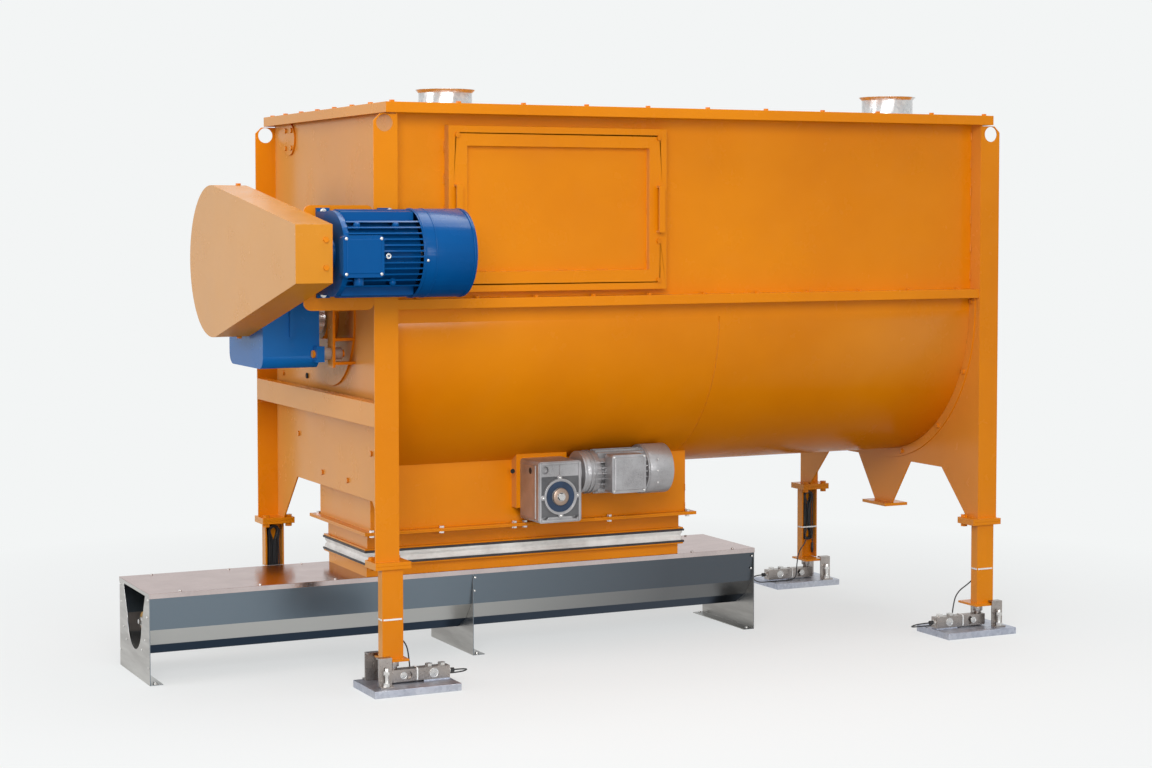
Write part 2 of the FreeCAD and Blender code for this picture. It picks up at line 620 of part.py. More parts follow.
def make_hatch():
    bolts = hatch_bolt_places()
    holes = [(along, up, "hatch_bolt + 0.5") for along, up in bolts]
    collar = new_body("hatch_collar_body")
    outer = rectangle(("hatch_left", "hatch_right"), ("hatch_bottom", "hatch_top"))
    pad(collar, "xz", "collar_face", "wall_face", outer, "collar_frame", holes)
    window = block("collar_window", ("hatch_left + collar_bar", "hatch_right - collar_bar"),
                   ("collar_face - 5", "wall_face + 5"),
                   ("hatch_bottom + collar_bar", "hatch_top - collar_bar"))
    node("hatch_collar", cut("collar_cut", collar, window))

    panel = new_body("hatch_panel_body")
    pad(panel, "xz", "hatch_face", "collar_face", outer, "panel_frame", holes)
    tray = rectangle(("hatch_left + hatch_frame", "hatch_right - hatch_frame"),
                     ("hatch_bottom + hatch_frame", "hatch_top - hatch_frame"))
    pad(panel, "xz", "hatch_face", "hatch_face + tray_depth + hatch_sheet", tray, "panel_tray")
    inside = block("tray_inside",
                   ("hatch_left + hatch_frame + hatch_sheet", "hatch_right - hatch_frame - hatch_sheet"),
                   ("hatch_face - 5", "hatch_face + tray_depth"),
                   ("hatch_bottom + hatch_frame + hatch_sheet", "hatch_top - hatch_frame - hatch_sheet"))
    handles = []
    low, high = "handle_middle - handle_height / 2", "handle_middle + handle_height / 2"
    front = "hatch_face - handle_reach"
    for along, left in (("left", "hatch_left + 20"), ("right", "hatch_right - 20 - handle_width")):
        across = (left, f"{left} + handle_width")
        grip = block(f"handle_grip_{along}", across, (front, f"{front} + handle_strap"), (low, high))
        feet = [block(f"handle_foot_{along}_{end}", across, (front, "hatch_face"), span)
                for end, span in (("low", (low, f"{low} + handle_strap")),
                                  ("high", (f"{high} - handle_strap", high)))]
        handles += [grip] + feet
    shell = cut("panel_shell", panel, inside)
    node("hatch_panel", fuse("panel_with_handles", shell, *handles))

    pieces = []
    for index, (along, up) in enumerate(bolts):
        head = hexagon(f"hatch_head_{index}", "y", (along, up), "hatch_face - bolt_head", "hatch_face",
                       "bolt_flats")
        shank = rod(f"hatch_shank_{index}", "y", (along, up), "hatch_face - bolt_head",
                    "hatch_face + hatch_bolt_length", "hatch_bolt")
        pieces.append(fuse(f"hatch_bolt_{index}", head, shank))
    node("hatch_bolts", group("hatch_bolt_set", pieces))


def corners():
    return [(along, across) for across in ("front", "rear") for along in ("left", "right")]


def make_leg_extensions():
    """A channel between a head plate, bolted under the folded leg, and a foot plate."""
    for across in ("front", "rear"):
        legs = []
        for along in ("left", "right"):
            tag = f"{across}_{along}"
            web = "leg_inset - channel_sheet - 4"
            side = "stand_along - channel_width / 2"
            other = "stand_along + channel_width / 2"
            up = ("foot_top", "extension_top")
            depth = span_across(web, f"{web} + channel_depth", across)
            parts = [
                block(f"channel_web_{tag}", span_along(side, other, along),
                      span_across(web, f"{web} + channel_sheet", across), up),
                block(f"channel_side_{tag}", span_along(side, f"{side} + channel_sheet", along), depth, up),
                block(f"channel_other_{tag}", span_along(f"{other} - channel_sheet", other, along), depth,
                      up),
                block(f"extension_head_{tag}",
                      span_along("stand_along - head_length / 2", "stand_along + head_length / 2", along),
                      span_across("stand_across - head_width / 2", "stand_across + head_width / 2", across),
                      ("extension_top", "head_under")),
                block(f"extension_foot_{tag}",
                      span_along("stand_along + foot_shift - foot_length / 2",
                                 "stand_along + foot_shift + foot_length / 2", along),
                      span_across("stand_across - foot_width / 2", "stand_across + foot_width / 2", across),
                      ("foot_height", "foot_top")),
            ]
            legs.append(fuse(f"extension_{tag}", *parts))
        node(across + "_leg_extensions", group(across + "_legs", legs))


def bolt(name, axis, centre, seat, side):
    """A hexagon head on a face; side says which way it stands out."""
    low, high = (seat, f"({seat}) + bolt_head") if side == "up" else (f"({seat}) - bolt_head", seat)
    return hexagon(name, axis, centre, low, high, "bolt_flats")


def cell_bolt_places():
    return ["cell_right - 24", "cell_right - 72"]


def make_cells():
    """Four shear beam cells on their pads, each loaded through a button at its outer end."""
    pads, cells, buttons, brackets, bolts, glands = [], [], [], [], [], []
    for along, across in corners():
        tag = f"{across}_{along}"
        row = faced("pad_across", across)
        plate = block(f"pad_plate_{tag}", span_along("pad_left", "pad_left + pad_length", along),
                      span_across("pad_across - pad_width / 2", "pad_across + pad_width / 2", across),
                      ("0", "pad_height"))
        spacer = block(f"pad_spacer_{tag}", span_along("cell_right - spacer_length", "cell_right", along),
                       span_across("pad_across - cell_width / 2", "pad_across + cell_width / 2", across),
                       ("pad_height - 1", "cell_bottom"))
        pads.append(fuse(f"pad_{tag}", plate, spacer))
        beam = block(f"cell_beam_{tag}", span_along("cell_left", "cell_right", along),
                     span_across("pad_across - cell_width / 2", "pad_across + cell_width / 2", across),
                     ("cell_bottom", "cell_top"))
        mid = "cell_bottom + cell_height / 2"
        sides = []
        for side, (near, far) in (("near", ("cell_width / 2 - 9", "cell_width / 2 + 5")),
                                  ("far", ("-cell_width / 2 - 5", "9 - cell_width / 2"))):
            sides.append(rod(f"cell_pocket_{tag}_{side}", "y", (turned("cell_left + 70", along), mid),
                             f"{row} + {near}", f"{row} + {far}", "15"))
        holes = [rod(f"cell_hole_{tag}_{i}", "z", (turned(place, along), row), "cell_bottom - 5",
                     "cell_top + 5",
                     "stand_bolt + 0.5") for i, place in enumerate(cell_bolt_places())]
        cells.append(cut(f"cell_{tag}", beam, *sides, *holes))
        loaded = turned("stand_along + foot_shift", along)
        low = rod(f"button_low_{tag}", "z", (loaded, row), "cell_top", "cell_top + button_step",
                  "button_radius * 0.7")
        high = rod(f"button_high_{tag}", "z", (loaded, row), "cell_top + button_step", "foot_height",
                   "button_radius")
        buttons.append(fuse(f"button_{tag}", low, high))
        gland = span_along("cell_right", "cell_right + gland_length", along)
        glands.append(rod(f"gland_{tag}", "x", (row, mid), *gland, "gland_radius"))
        for i, place in enumerate(cell_bolt_places()):
            centre = (turned(place, along), row)
            head = hexagon(f"cell_head_{tag}_{i}", "z", centre, "cell_top", "cell_top + 10",
                           "stand_bolt_flats")
            shank = rod(f"cell_shank_{tag}_{i}", "z", centre, "cell_bottom", "cell_top + 10", "stand_bolt")
            bolts.append(fuse(f"cell_bolt_{tag}_{i}", head, shank))
        side_edge = "foot_width / 2 + bracket_gap"
        length = span_along("bracket_left", "bracket_left + bracket_length", along)
        lip_low = "foot_top + bracket_gap"
        for end, sign in (("near", "-"), ("far", "+")):
            def out(distance):
                return faced(f"stand_across {sign} ({distance})", across)
            flip = 1 if (sign == "+") == (across == "front") else -1
            wall = (out(side_edge), out(f"{side_edge} + bracket_sheet"))[::flip]
            lip = (out(f"{side_edge} - bracket_lip"), out(f"{side_edge} + bracket_sheet"))[::flip]
            foot = (out(side_edge), out(f"{side_edge} + bracket_foot"))[::flip]
            stem = block(f"bracket_stem_{tag}_{end}", length, wall,
                         ("pad_height", f"{lip_low} + bracket_sheet"))
            hook = block(f"bracket_lip_{tag}_{end}", length, lip, (lip_low, f"{lip_low} + bracket_sheet"))
            base = block(f"bracket_foot_{tag}_{end}", length, foot,
                         ("pad_height", "pad_height + bracket_sheet"))
            brackets.append(fuse(f"bracket_{tag}_{end}", stem, hook, base))
            centre = (turned("bracket_left + bracket_length / 2", along),
                      out(f"{side_edge} + bracket_sheet + (bracket_foot - bracket_sheet) / 2"))
            floor = "pad_height + bracket_sheet"
            stud = rod(f"jack_stud_{tag}_{end}", "z", centre, floor, f"{floor} + 62", "stand_bolt - 1")
            nut = hexagon(f"jack_nut_{tag}_{end}", "z", centre, floor, f"{floor} + 12",
                          "stand_bolt_flats - 4")
            top = hexagon(f"jack_top_{tag}_{end}", "z", centre, f"{floor} + 40", f"{floor} + 52",
                          "stand_bolt_flats - 4")
            bolts.append(fuse(f"jack_{tag}_{end}", stud, nut, top))
    node("base_pads", group("pads", pads))
    node("load_cells", group("cells", cells))
    node("load_buttons", group("buttons", buttons))
    node("cable_glands", group("glands", glands))
    node("anti_lift_brackets", group("brackets", brackets))
    for index, share in enumerate((0, 0.21, 0.435, 0.468, 0.74, 1)):
        place = f"outlet_left + outlet_length * {share}"
        for across in ("front", "rear"):
            centre = (place, faced("outlet_front - outlet_flange / 2", across))
            bolts.append(bolt(f"flange_{across}_{index}", "z", centre, "outlet_bottom + flange_sheet", "up"))
            bolts.append(bolt(f"flange_nut_{across}_{index}", "z", centre, "outlet_bottom - flange_sheet",
                              "down"))
    node("zinc_bolts", group("zinc_bolt_set", bolts))


def make_panel_bolts():
    """The painted hexagon bolts of the cover, the ledge, the guard, the blind cover and the legs."""
    bolts = []
    along_count, across_count = int(size("cover_bolts_along")), int(size("cover_bolts_across"))
    for index in range(along_count):
        place = f"30 + (cover_length - 60) * {index} / {along_count - 1}"
        for across in ("front", "rear"):
            bolts.append(bolt(f"cover_{across}_{index}", "z", (place, faced("22", across)), "cover_top",
                              "up"))
    for index in range(across_count):
        place = f"22 + (cover_width - 44) * ({index} + 1) / {across_count + 1}"
        for along in ("left", "right"):
            bolts.append(bolt(f"cover_{along}_{index}", "z", (turned("22", along), place), "cover_top",
                              "up"))
    ledge_count = int(size("ledge_bolts"))
    for index in range(ledge_count):
        place = f"chamber_left + 80 + (cover_length - 2 * chamber_left - 160) * {index} / {ledge_count - 1}"
        for across in ("front", "rear"):
            centre = (place, faced("ledge_face + ledge_reach / 2", across))
            bolts.append(bolt(f"ledge_{across}_{index}", "z", centre, "ledge_top", "up"))
            bolts.append(bolt(f"ledge_nut_{across}_{index}", "z", centre, "ledge_under - wall_sheet",
                              "down"))
    for index, (a, b) in enumerate(((0.7, 0.7), (-0.7, 0.7), (-0.7, -0.7), (0.7, -0.7))):
        centre = (f"blind_across + blind_radius * {a}", f"blind_height + blind_radius * {b}")
        bolts.append(bolt(f"blind_{index}", "x", centre, "end_inset - blind_sheet", "down"))
    for index, centre in enumerate((("middle - 406.5", "arch_height + 168"),
                                    ("middle + 380.5", "arch_height + 170"),
                                    ("middle + 111.5", "arch_height + 49"),
                                    ("middle - 161.5", "arch_height + 48"))):
        bolts.append(bolt(f"stiffener_{index}", "x", centre, "end_inset", "down"))
    for index, height in enumerate(("guard_front_middle - 45", "guard_front_middle + 45")):
        centre = ("guard_right - 20", height)
        bolts.append(bolt(f"guard_front_{index}", "y", centre, "guard_front", "down"))
    rim = "guard_right - 20"
    for name, axis, centre, seat, side in (
            ("high", "z", (rim, "middle"), "input_height + guard_radius", "up"),
            ("low", "z", (rim, "middle"), "input_height - guard_radius", "down"),
            ("back", "y", (rim, "input_height"), "middle + guard_radius", "up")):
        bolts.append(bolt("guard_rim_" + name, axis, centre, seat, side))
    for along, across in corners():
        for index, place in enumerate(("stand_along - 45", "stand_along + 45")):
            centre = (turned(place, along), faced("stand_across + head_width / 2 - 16", across))
            tag = f"{across}_{along}_{index}"
            bolts.append(hexagon("leg_head_" + tag, "z", centre, "head_top", "head_top + 10",
                                 "stand_bolt_flats"))
            bolts.append(hexagon("leg_nut_" + tag, "z", centre, "extension_top - 12", "extension_top",
                                 "stand_bolt_flats"))
    bolts.append(make_torque_bolt())
    node("panel_bolts", group("panel_bolt_set", bolts))


def make_blind_cover():
    disc = rod("blind_disc", "x", ("blind_across", "blind_height"), "end_inset - blind_sheet", "end_inset",
               "blind_radius + 12")
    node("blind_cover", group("blind_set", [disc]))


def corner_bar(name, x, y, z, radius, axis):
    """A block with its edges along one axis rounded."""
    body = new_body(name)
    planes = {"x": ("yz", y, z, x), "y": ("xz", x, z, y), "z": ("xy", x, y, z)}
    plane, across, up, depth = planes[axis]
    pad(body, plane, *depth, rectangle(across, up), name + "_pad")
    round_edges(body, axis, radius, name + "_round")
    return body


def make_motor():
    axis = ("motor_across", "motor_axis")
    node("motor_plate", corner_bar("motor_plate_body", ("plate_left", "plate_right"),
                                   ("leg_inset", "leg_inset + plate_sheet"),
                                   ("plate_bottom", "plate_bottom + plate_height"), "plate_corner", "y"))
    left, right = "motor_along", "motor_right"
    core = rod("motor_core_rod", "x", axis, left, right, "motor_core")
    envelope = rod("motor_fin_envelope", "x", axis, f"{left} + 18", right, "motor_fins")
    rows = int(size("fin_rows"))
    fins = []
    reach = "motor_fins + 2"
    for index in range(rows):
        shift = f"({index} - {rows - 1} / 2) * fin_pitch"
        level, upright_fin = f"motor_axis + {shift}", f"motor_across + {shift}"
        fins.append(block(f"motor_fin_level_{index}", (f"{left} + 18", right),
                          (f"motor_across - ({reach})", f"motor_across + {reach}"),
                          (f"{level} - fin_sheet / 2", f"{level} + fin_sheet / 2")))
        if rows // 4 <= index < rows - rows // 4:
            fins.append(block(f"motor_fin_upright_{index}", (f"{left} + 18", right),
                              (f"{upright_fin} - fin_sheet / 2", f"{upright_fin} + fin_sheet / 2"),
                              (f"motor_axis - ({reach})", f"motor_axis + {reach}")))
    finned = doc.addObject("Part::Common", "motor_fins_trimmed")
    finned.Base, finned.Tool = fuse("motor_fin_set", *fins), envelope
    shield = rod("motor_shield", "x", axis, left, f"{left} + 18", "motor_fins - 4")
    hub = rod("motor_hub", "x", axis, f"{left} - 10", left, "motor_shaft_radius * 2.4")
    feet = []
    for end, start in (("left", f"{left} + 4"), ("right", f"{right} - foot_bar - 4")):
        along = (start, f"{start} + foot_bar")
        feet.append(block(f"motor_foot_{end}", along, ("leg_inset - 14", "leg_inset"),
                          ("motor_axis - foot_spread", "motor_axis + foot_spread")))
        for side, span in (("low", ("motor_axis - foot_spread + 12", "motor_axis - motor_core * 0.5")),
                           ("high", ("motor_axis + motor_core * 0.5", "motor_axis + foot_spread - 12"))):
            feet.append(block(f"motor_leg_{end}_{side}", along, ("motor_across + motor_core * 0.5",
                                                                 "leg_inset - 5"), span))
    solid = fuse("motor_casting", core, finned, shield, hub, *feet)
    bore = rod("motor_bore", "x", axis, f"{left} - 15", f"{right} + 5", "motor_shaft_radius + shaft_fit")
    seat = block("motor_box_seat", ("box_left", "box_left + box_length"),
                 ("box_front - 20", "motor_across - motor_core"),
                 ("motor_axis - box_height / 2 - 7", "motor_axis + box_height / 2 - 7"))
    gland_seat = rod("motor_gland_seat", "z", ("box_left + box_length * 0.45", "box_front + 30"),
                     "motor_axis - box_height / 2 - 38", "motor_axis - box_height / 2", "20")
    node("motor_housing", cut("motor_machined", solid, bore, seat, gland_seat))

    end = "motor_right + cowl_length"
    shell = rod("cowl_outside", "x", axis, "motor_right", end, "cowl_radius")
    hollow_part = rod("cowl_inside", "x", axis, "motor_right - 5", f"{end} - cowl_sheet",
                      "cowl_radius - cowl_sheet")
    slots = []
    for index in range(5):
        level = f"motor_axis + ({index} - 2) * 36"
        half = f"sqrt(cowl_radius * cowl_radius - ({index} - 2) * 36 * ({index} - 2) * 36) - 30"
        slots.append(block(f"cowl_slot_{index}", (f"{end} - 8", f"{end} + 5"),
                           (f"motor_across - ({half})", f"motor_across + {half}"),
                           (f"{level} - 8", f"{level} + 8")))
    node("motor_cowl", cut("cowl_cut", shell, hollow_part, *slots))

    low, high = "motor_axis - box_height / 2 - 7", "motor_axis + box_height / 2 - 7"
    case = corner_bar("terminal_case", ("box_left", "box_left + box_length"),
                      ("box_front + box_lid", "motor_across - motor_core - 0.3"), (low, high), "box_round",
                      "y")
    lid = corner_bar("terminal_lid", ("box_left", "box_left + box_length"),
                     ("box_front", "box_front + box_lid"), (low, high), "box_round", "y")
    knob = rod("terminal_knob", "z", ("box_left + box_length * 0.45", "box_front + 30"),
               f"{low} - 26", low, "16")
    node("motor_terminal_box", group("terminal_pieces", [case, lid, knob]))


def pulley_profile(radius, bore):
    """Half section of a grooved pulley: places along the shaft and out from it."""
    grooves = int(size("belt_count"))
    points = [("pulley_left", bore), ("pulley_left", radius)]
    for index in range(grooves):
        middle = f"(pulley_left + pulley_right) / 2 + ({index} - {grooves - 1} / 2) * belt_pitch"
        points += [(f"{middle} - belt_top / 2 - 0.4", radius),
                   (f"{middle} - belt_top / 2 + 2", f"{radius} - belt_depth - 1"),
                   (f"{middle} + belt_top / 2 - 2", f"{radius} - belt_depth - 1"),
                   (f"{middle} + belt_top / 2 + 0.4", radius)]
    return points + [("pulley_right", radius), ("pulley_right", bore)]


def make_pulley(name, across, up, radius, bore, spokes):
    """A V-belt pulley; its half section is turned round its own axis, then set on it."""
    body = new_body(name + "_body")
    revolve(body, "xz", pulley_profile(radius, bore), name, "H_Axis")
    pieces = [body]
    shifted = doc.addObject("Part::Compound", name + "_set")
    shifted.Links = pieces
    bind(shifted, "Placement.Base.y", across)
    bind(shifted, "Placement.Base.z", up)
    if not spokes:
        return node(name, group(name + "_placed", [shifted]))
    windows = [rod(f"{name}_window_{i}", "x",
                   (f"{across} + ({round(math.cos(i * math.pi / 3), 4)}) * {radius} * 0.57",
                    f"{up} + ({round(math.sin(i * math.pi / 3), 4)}) * {radius} * 0.57"),
                   "pulley_left - 5", "pulley_right + 5", f"{radius} * 0.2") for i in range(6)]
    return node(name, cut(name + "_cut", shifted, *windows))


def strap(first, second, radius_first, radius_second, low, high):
    """A loop round two circles in the plane across the length, as a solid."""
    gap = second - first
    lean = math.asin((radius_first - radius_second) / gap.Length)
    turn = math.atan2(gap.z, gap.y)

    def point(centre, radius, angle):
        return centre + FreeCAD.Vector(0, radius * math.cos(angle), radius * math.sin(angle))
    near, far = turn + math.pi / 2 - lean, turn - math.pi / 2 + lean
    edges = [
        Part.LineSegment(point(first, radius_first, near), point(second, radius_second, near)).toShape(),
        Part.Arc(point(second, radius_second, near), point(second, radius_second, turn),
                 point(second, radius_second, far)).toShape(),
        Part.LineSegment(point(second, radius_second, far), point(first, radius_first, far)).toShape(),
        Part.Arc(point(first, radius_first, far), point(first, radius_first, turn + math.pi),
                 point(first, radius_first, near)).toShape(),
    ]
    face = Part.Face(Part.Wire(edges))
    face.translate(FreeCAD.Vector(low, 0, 0))
    return face.extrude(FreeCAD.Vector(high - low, 0, 0))


def make_belts():
    motor = FreeCAD.Vector(0, size("motor_across"), size("motor_axis"))
    gear = FreeCAD.Vector(0, size("middle"), size("input_height"))
    wide, small = size("gear_pulley_radius") + 1, size("motor_pulley_radius") + 1
    depth, top, count = size("belt_depth"), size("belt_top"), int(size("belt_count"))
    belts = []
    for index in range(count):
        centre = (size("pulley_left") + size("pulley_right")) / 2
        centre += (index - (count - 1) / 2) * size("belt_pitch")
        span = (centre - top / 2 + 1.9, centre + top / 2 - 1.9)
        outside = strap(gear, motor, wide, small, *span)
        inside = strap(gear, motor, wide - depth, small - depth, *span)
        belts.append(outside.cut(inside))
    node("v_belts", fixed("belt_loops", Part.makeCompound(belts)))


def guard_outline():
    """The guard's side: a big arc round the gearbox pulley, tangent to two straight runs."""
    points = {}
    for end, sign in (("high", "+"), ("low", "-")):
        across = "guard_front - middle"
        up = f"guard_front_middle {sign} guard_front_height / 2 - input_height"
        reach = f"(({across}) * ({across}) + ({up}) * ({up}))"
        along = f"guard_radius * guard_radius / {reach}"
        side = f"guard_radius * sqrt({reach} - guard_radius * guard_radius) / {reach}"
        turn = "-" if end == "high" else "+"
        points[end] = (f"middle + {along} * ({across}) {'+' if turn == '+' else '-'} {side} * ({up}) * (-1)",
                       f"input_height + {along} * ({up}) {turn} {side} * ({across})")
    front = [("guard_front", f"guard_front_middle {sign} guard_front_height / 2") for sign in "+-"]
    return [front[1], (*points["low"], "middle", "input_height", "round"), points["high"], front[0]]


def make_guard():
    outline_points = guard_outline()
    body = new_body("belt_guard_body")
    pad(body, "yz", "guard_left", "guard_right", outline_points, "guard_blank")
    hollow(body, "guard_sheet", "guard_shell", lambda side: side.x > 0.99)
    node("belt_guard", body)
    plate = new_body("guard_back_plate_body")
    pad(plate, "yz", "guard_right", "back_right", outline_points, "back_sheet_pad",
        [("middle", "input_height", "input_radius + 12"),
         ("motor_across", "motor_axis", "motor_shaft_radius + 14")])
    node("guard_back_plate", plate)


def make_gearbox():
    """The shaft-mounted reduction gearbox: a housing on the mixer shaft, input on top."""
    body = new_body("gearbox_body")
    low, shoulder = "axis_height - gearbox_below", "input_height - 20"
    top = "input_height + gearbox_top"
    halves = [("gearbox_half", low), ("gearbox_half", shoulder), ("gearbox_shoulder - 40", top)]
    points = [(f"middle - ({a})", b) for a, b in halves] + [(f"middle + {a}", b) for a,
                                                            b in reversed(halves)]
    pad(body, "yz", "back_right", "gearbox_right", points, "gearbox_blank",
        [("middle", "axis_height", "shaft_radius + shaft_fit")])
    round_edges(body, "x", "gearbox_round", "gearbox_round_edges")
    boss = rod("gearbox_boss", "x", ("middle", "axis_height"), "gearbox_right - 5", "gearbox_right + 20",
               "shaft_radius + 32")
    rib_middle = "(back_right + gearbox_right) / 2"
    rib = block("gearbox_joint", (f"{rib_middle} - 8", f"{rib_middle} + 8"),
                ("middle - gearbox_half - 10", "middle + gearbox_half + 10"),
                ("axis_height - 60", "input_height - 60"))
    lug = block("gearbox_lug", ("gearbox_right - 24", "stay_left_face"),
                ("stay_across - 26", "middle - gearbox_half + 10"),
                ("buffer_height - 28", "buffer_height + 28"))
    whole = fuse("gearbox_whole", body, boss, rib, lug)
    shaft_bore = rod("gearbox_bore", "x", ("middle", "axis_height"), "back_right - 5", "gearbox_right + 30",
                     "shaft_radius + shaft_fit")
    input_bore = rod("gearbox_input_bore", "x", ("middle", "input_height"), "back_right - 5",
                     "gearbox_right - 30",
                     "input_radius + shaft_fit")
    lug_hole = rod("gearbox_lug_hole", "x", ("stay_across", "buffer_height"), "gearbox_right - 40",
                   "stay_left_face + 5", "buffer_bolt + 0.5")
    node("gearbox_housing", cut("gearbox_machined", whole, shaft_bore, input_bore, lug_hole))


def make_torque_stay():
    """A welded stay on the end wall, gripped between two rubber buffers."""
    left, right = "stay_left_face + buffer_length", "stay_left_face + buffer_length + stay_sheet"
    centre = ("stay_across", "buffer_height")
    plate = block("stay_plate", (left, right),
                  ("stay_across - stay_width / 2", "stay_across + stay_width / 2"),
                  ("stay_bottom", "stay_bottom + stay_height"))
    gussets = [block(f"stay_gusset_{i}", (left, "end_inset"),
                     ("stay_across - stay_width / 2", "stay_across + stay_width / 2"),
                     (f"stay_bottom + {level}", f"stay_bottom + {level} + stay_sheet"))
               for i, level in enumerate(("10", "stay_height * 0.42", "stay_height - 24"))]
    hole = rod("stay_hole", "x", centre, f"{left} - 5", f"{right} + 5", "buffer_bolt + 0.5")
    disc = rod("stay_disc_gap", "x", ("middle", "axis_height"), "end_inset - bearing_disc_sheet",
               "end_inset + 5",
               "bearing_disc + seat_gap")
    node("torque_stay", cut("stay_cut", fuse("stay_whole", plate, *gussets), hole, disc))
    rings = []
    for index, start in enumerate(("stay_left_face", right)):
        ring = rod(f"buffer_{index}", "x", centre, start, f"{start} + buffer_length", "buffer_radius")
        bore = rod(f"buffer_bore_{index}", "x", centre, f"{start} - 5", f"{start} + buffer_length + 5",
                   "buffer_bolt + 0.5")
        rings.append(cut(f"buffer_ring_{index}", ring, bore))
    node("torque_buffers", group("buffers", rings))


def make_torque_bolt():
    """The bolt through lug, stay and buffers, with its head and nut."""
    centre = ("stay_across", "buffer_height")
    start, end = "gearbox_right - 24", "stay_left_face + 2 * buffer_length + stay_sheet"
    return fuse("torque_bolt", rod("torque_shank", "x", centre, f"{start} - 8", f"{end} + 8", "buffer_bolt"),
                hexagon("torque_head", "x", centre, f"{start} - 10", start, "stand_bolt_flats"),
                hexagon("torque_nut", "x", centre, end, f"{end} + 10", "stand_bolt_flats"))


def make_bearings():
    """Flange bearings on the outer faces of both end walls."""
    pieces = []
    for along in ("left", "right"):
        seat = "end_inset - bearing_disc_sheet"
        centre = ("middle", "axis_height")
        flange = rod(f"bearing_flange_{along}", "x", centre, *span_along(f"{seat} - 14", seat, along),
                     "bearing_radius")
        collar = rod(f"bearing_collar_{along}", "x", centre,
                     *span_along(f"{seat} - bearing_length", f"{seat} - 10", along), "bearing_radius * 0.84")
        bore = rod(f"bearing_bore_{along}", "x", centre,
                   *span_along(f"{seat} - bearing_length - 5", f"{seat} + 5", along),
                   "shaft_radius + shaft_fit")
        pieces.append(cut(f"bearing_{along}", fuse(f"bearing_whole_{along}", flange, collar), bore))
    node("shaft_bearings", group("bearings", pieces))


def rotor_stations():
    """Where spokes meet both ribbons: every half pitch along the rotor."""
    count = 2 * int(size("ribbon_turns"))
    return [f"chamber_left + ribbon_end_gap + ribbon_span * {index} / {count}" for index in range(count + 1)]


def make_rotor():
    end = "cover_length - end_inset + bearing_disc_sheet + bearing_length + 22"
    centre = ("middle", "axis_height")
    shaft = rod("main_shaft_rod", "x", centre, "back_right + 4", end, "shaft_radius")
    key = block("main_shaft_key", (f"{end} - 40", f"{end} + 5"), ("middle - 6", "middle + 6"),
                ("axis_height + shaft_radius - 6", "axis_height + shaft_radius + 5"))
    node("main_shaft", cut("main_shaft_cut", shaft, key))
    spokes = []
    inner_low = "inner_ribbon_radius - inner_ribbon_width"
    inset = "spoke_radius * (1 - 2 * {0} / {1})"
    stations = rotor_stations()
    for index, place in enumerate(stations):
        shift = inset.format(index, len(stations) - 1)
        for side in ("up", "down"):
            for part, near, far in (("near", "shaft_radius + seat_gap", f"{inner_low} - seat_gap"),
                                    ("far", "inner_ribbon_radius + seat_gap",
                                     "outer_radius - outer_ribbon_width - seat_gap")):
                ends = (f"axis_height + ({near})", f"axis_height + ({far})")
                if side == "down":
                    ends = (f"axis_height - ({far})", f"axis_height - ({near})")
                spokes.append(rod(f"spoke_{index}_{side}_{part}", "z", (f"{place} + {shift}", "middle"),
                                  *ends,
                                  "spoke_radius"))
    node("ribbon_spokes", group("spokes", spokes))
    for name, radius, width, hand in (("outer_ribbon", "outer_radius", "outer_ribbon_width", False),
                                      ("inner_ribbon", "inner_ribbon_radius", "inner_ribbon_width", True)):
        node(name, fixed(name + "_flights", ribbon(size(radius), size(width), hand)))


def helix_sweep(pitch, length, inner, outer, sheet, left_handed):
    """A flight round the X axis from the origin: a strip of plate swept on a helix."""
    spine = Part.makeHelix(pitch, length, (inner + outer) / 2, 0, left_handed)
    half, thick = (outer - inner) / 2, sheet / 2
    middle = (inner + outer) / 2
    corners_of_strip = [FreeCAD.Vector(middle - half, 0, -thick), FreeCAD.Vector(middle + half, 0, -thick),
                        FreeCAD.Vector(middle + half, 0, thick), FreeCAD.Vector(middle - half, 0, thick)]
    profile = Part.makePolygon(corners_of_strip + corners_of_strip[:1])
    flight = Part.Wire(spine.Edges).makePipeShell([profile], True, True)
    flight.rotate(FreeCAD.Vector(), FreeCAD.Vector(0, 1, 0), 90)
    return flight


def ribbon(outer, width, left_handed):
    """Two flights half a turn apart, from one end of the rotor to the other."""
    sheet, turns = size("ribbon_sheet"), size("ribbon_turns")
    length = size("ribbon_span") - sheet
    flights = []
    for turn in (0, 180):
        flight = helix_sweep(length / turns, length, outer - width, outer, sheet, left_handed)
        flight.rotate(FreeCAD.Vector(), FreeCAD.Vector(1, 0, 0), turn)
        flight.translate(FreeCAD.Vector(size("chamber_left") + size("ribbon_end_gap") + sheet / 2,
                                        size("middle"), size("axis_height")))
        flights.append(flight)
    return Part.makeCompound(flights)


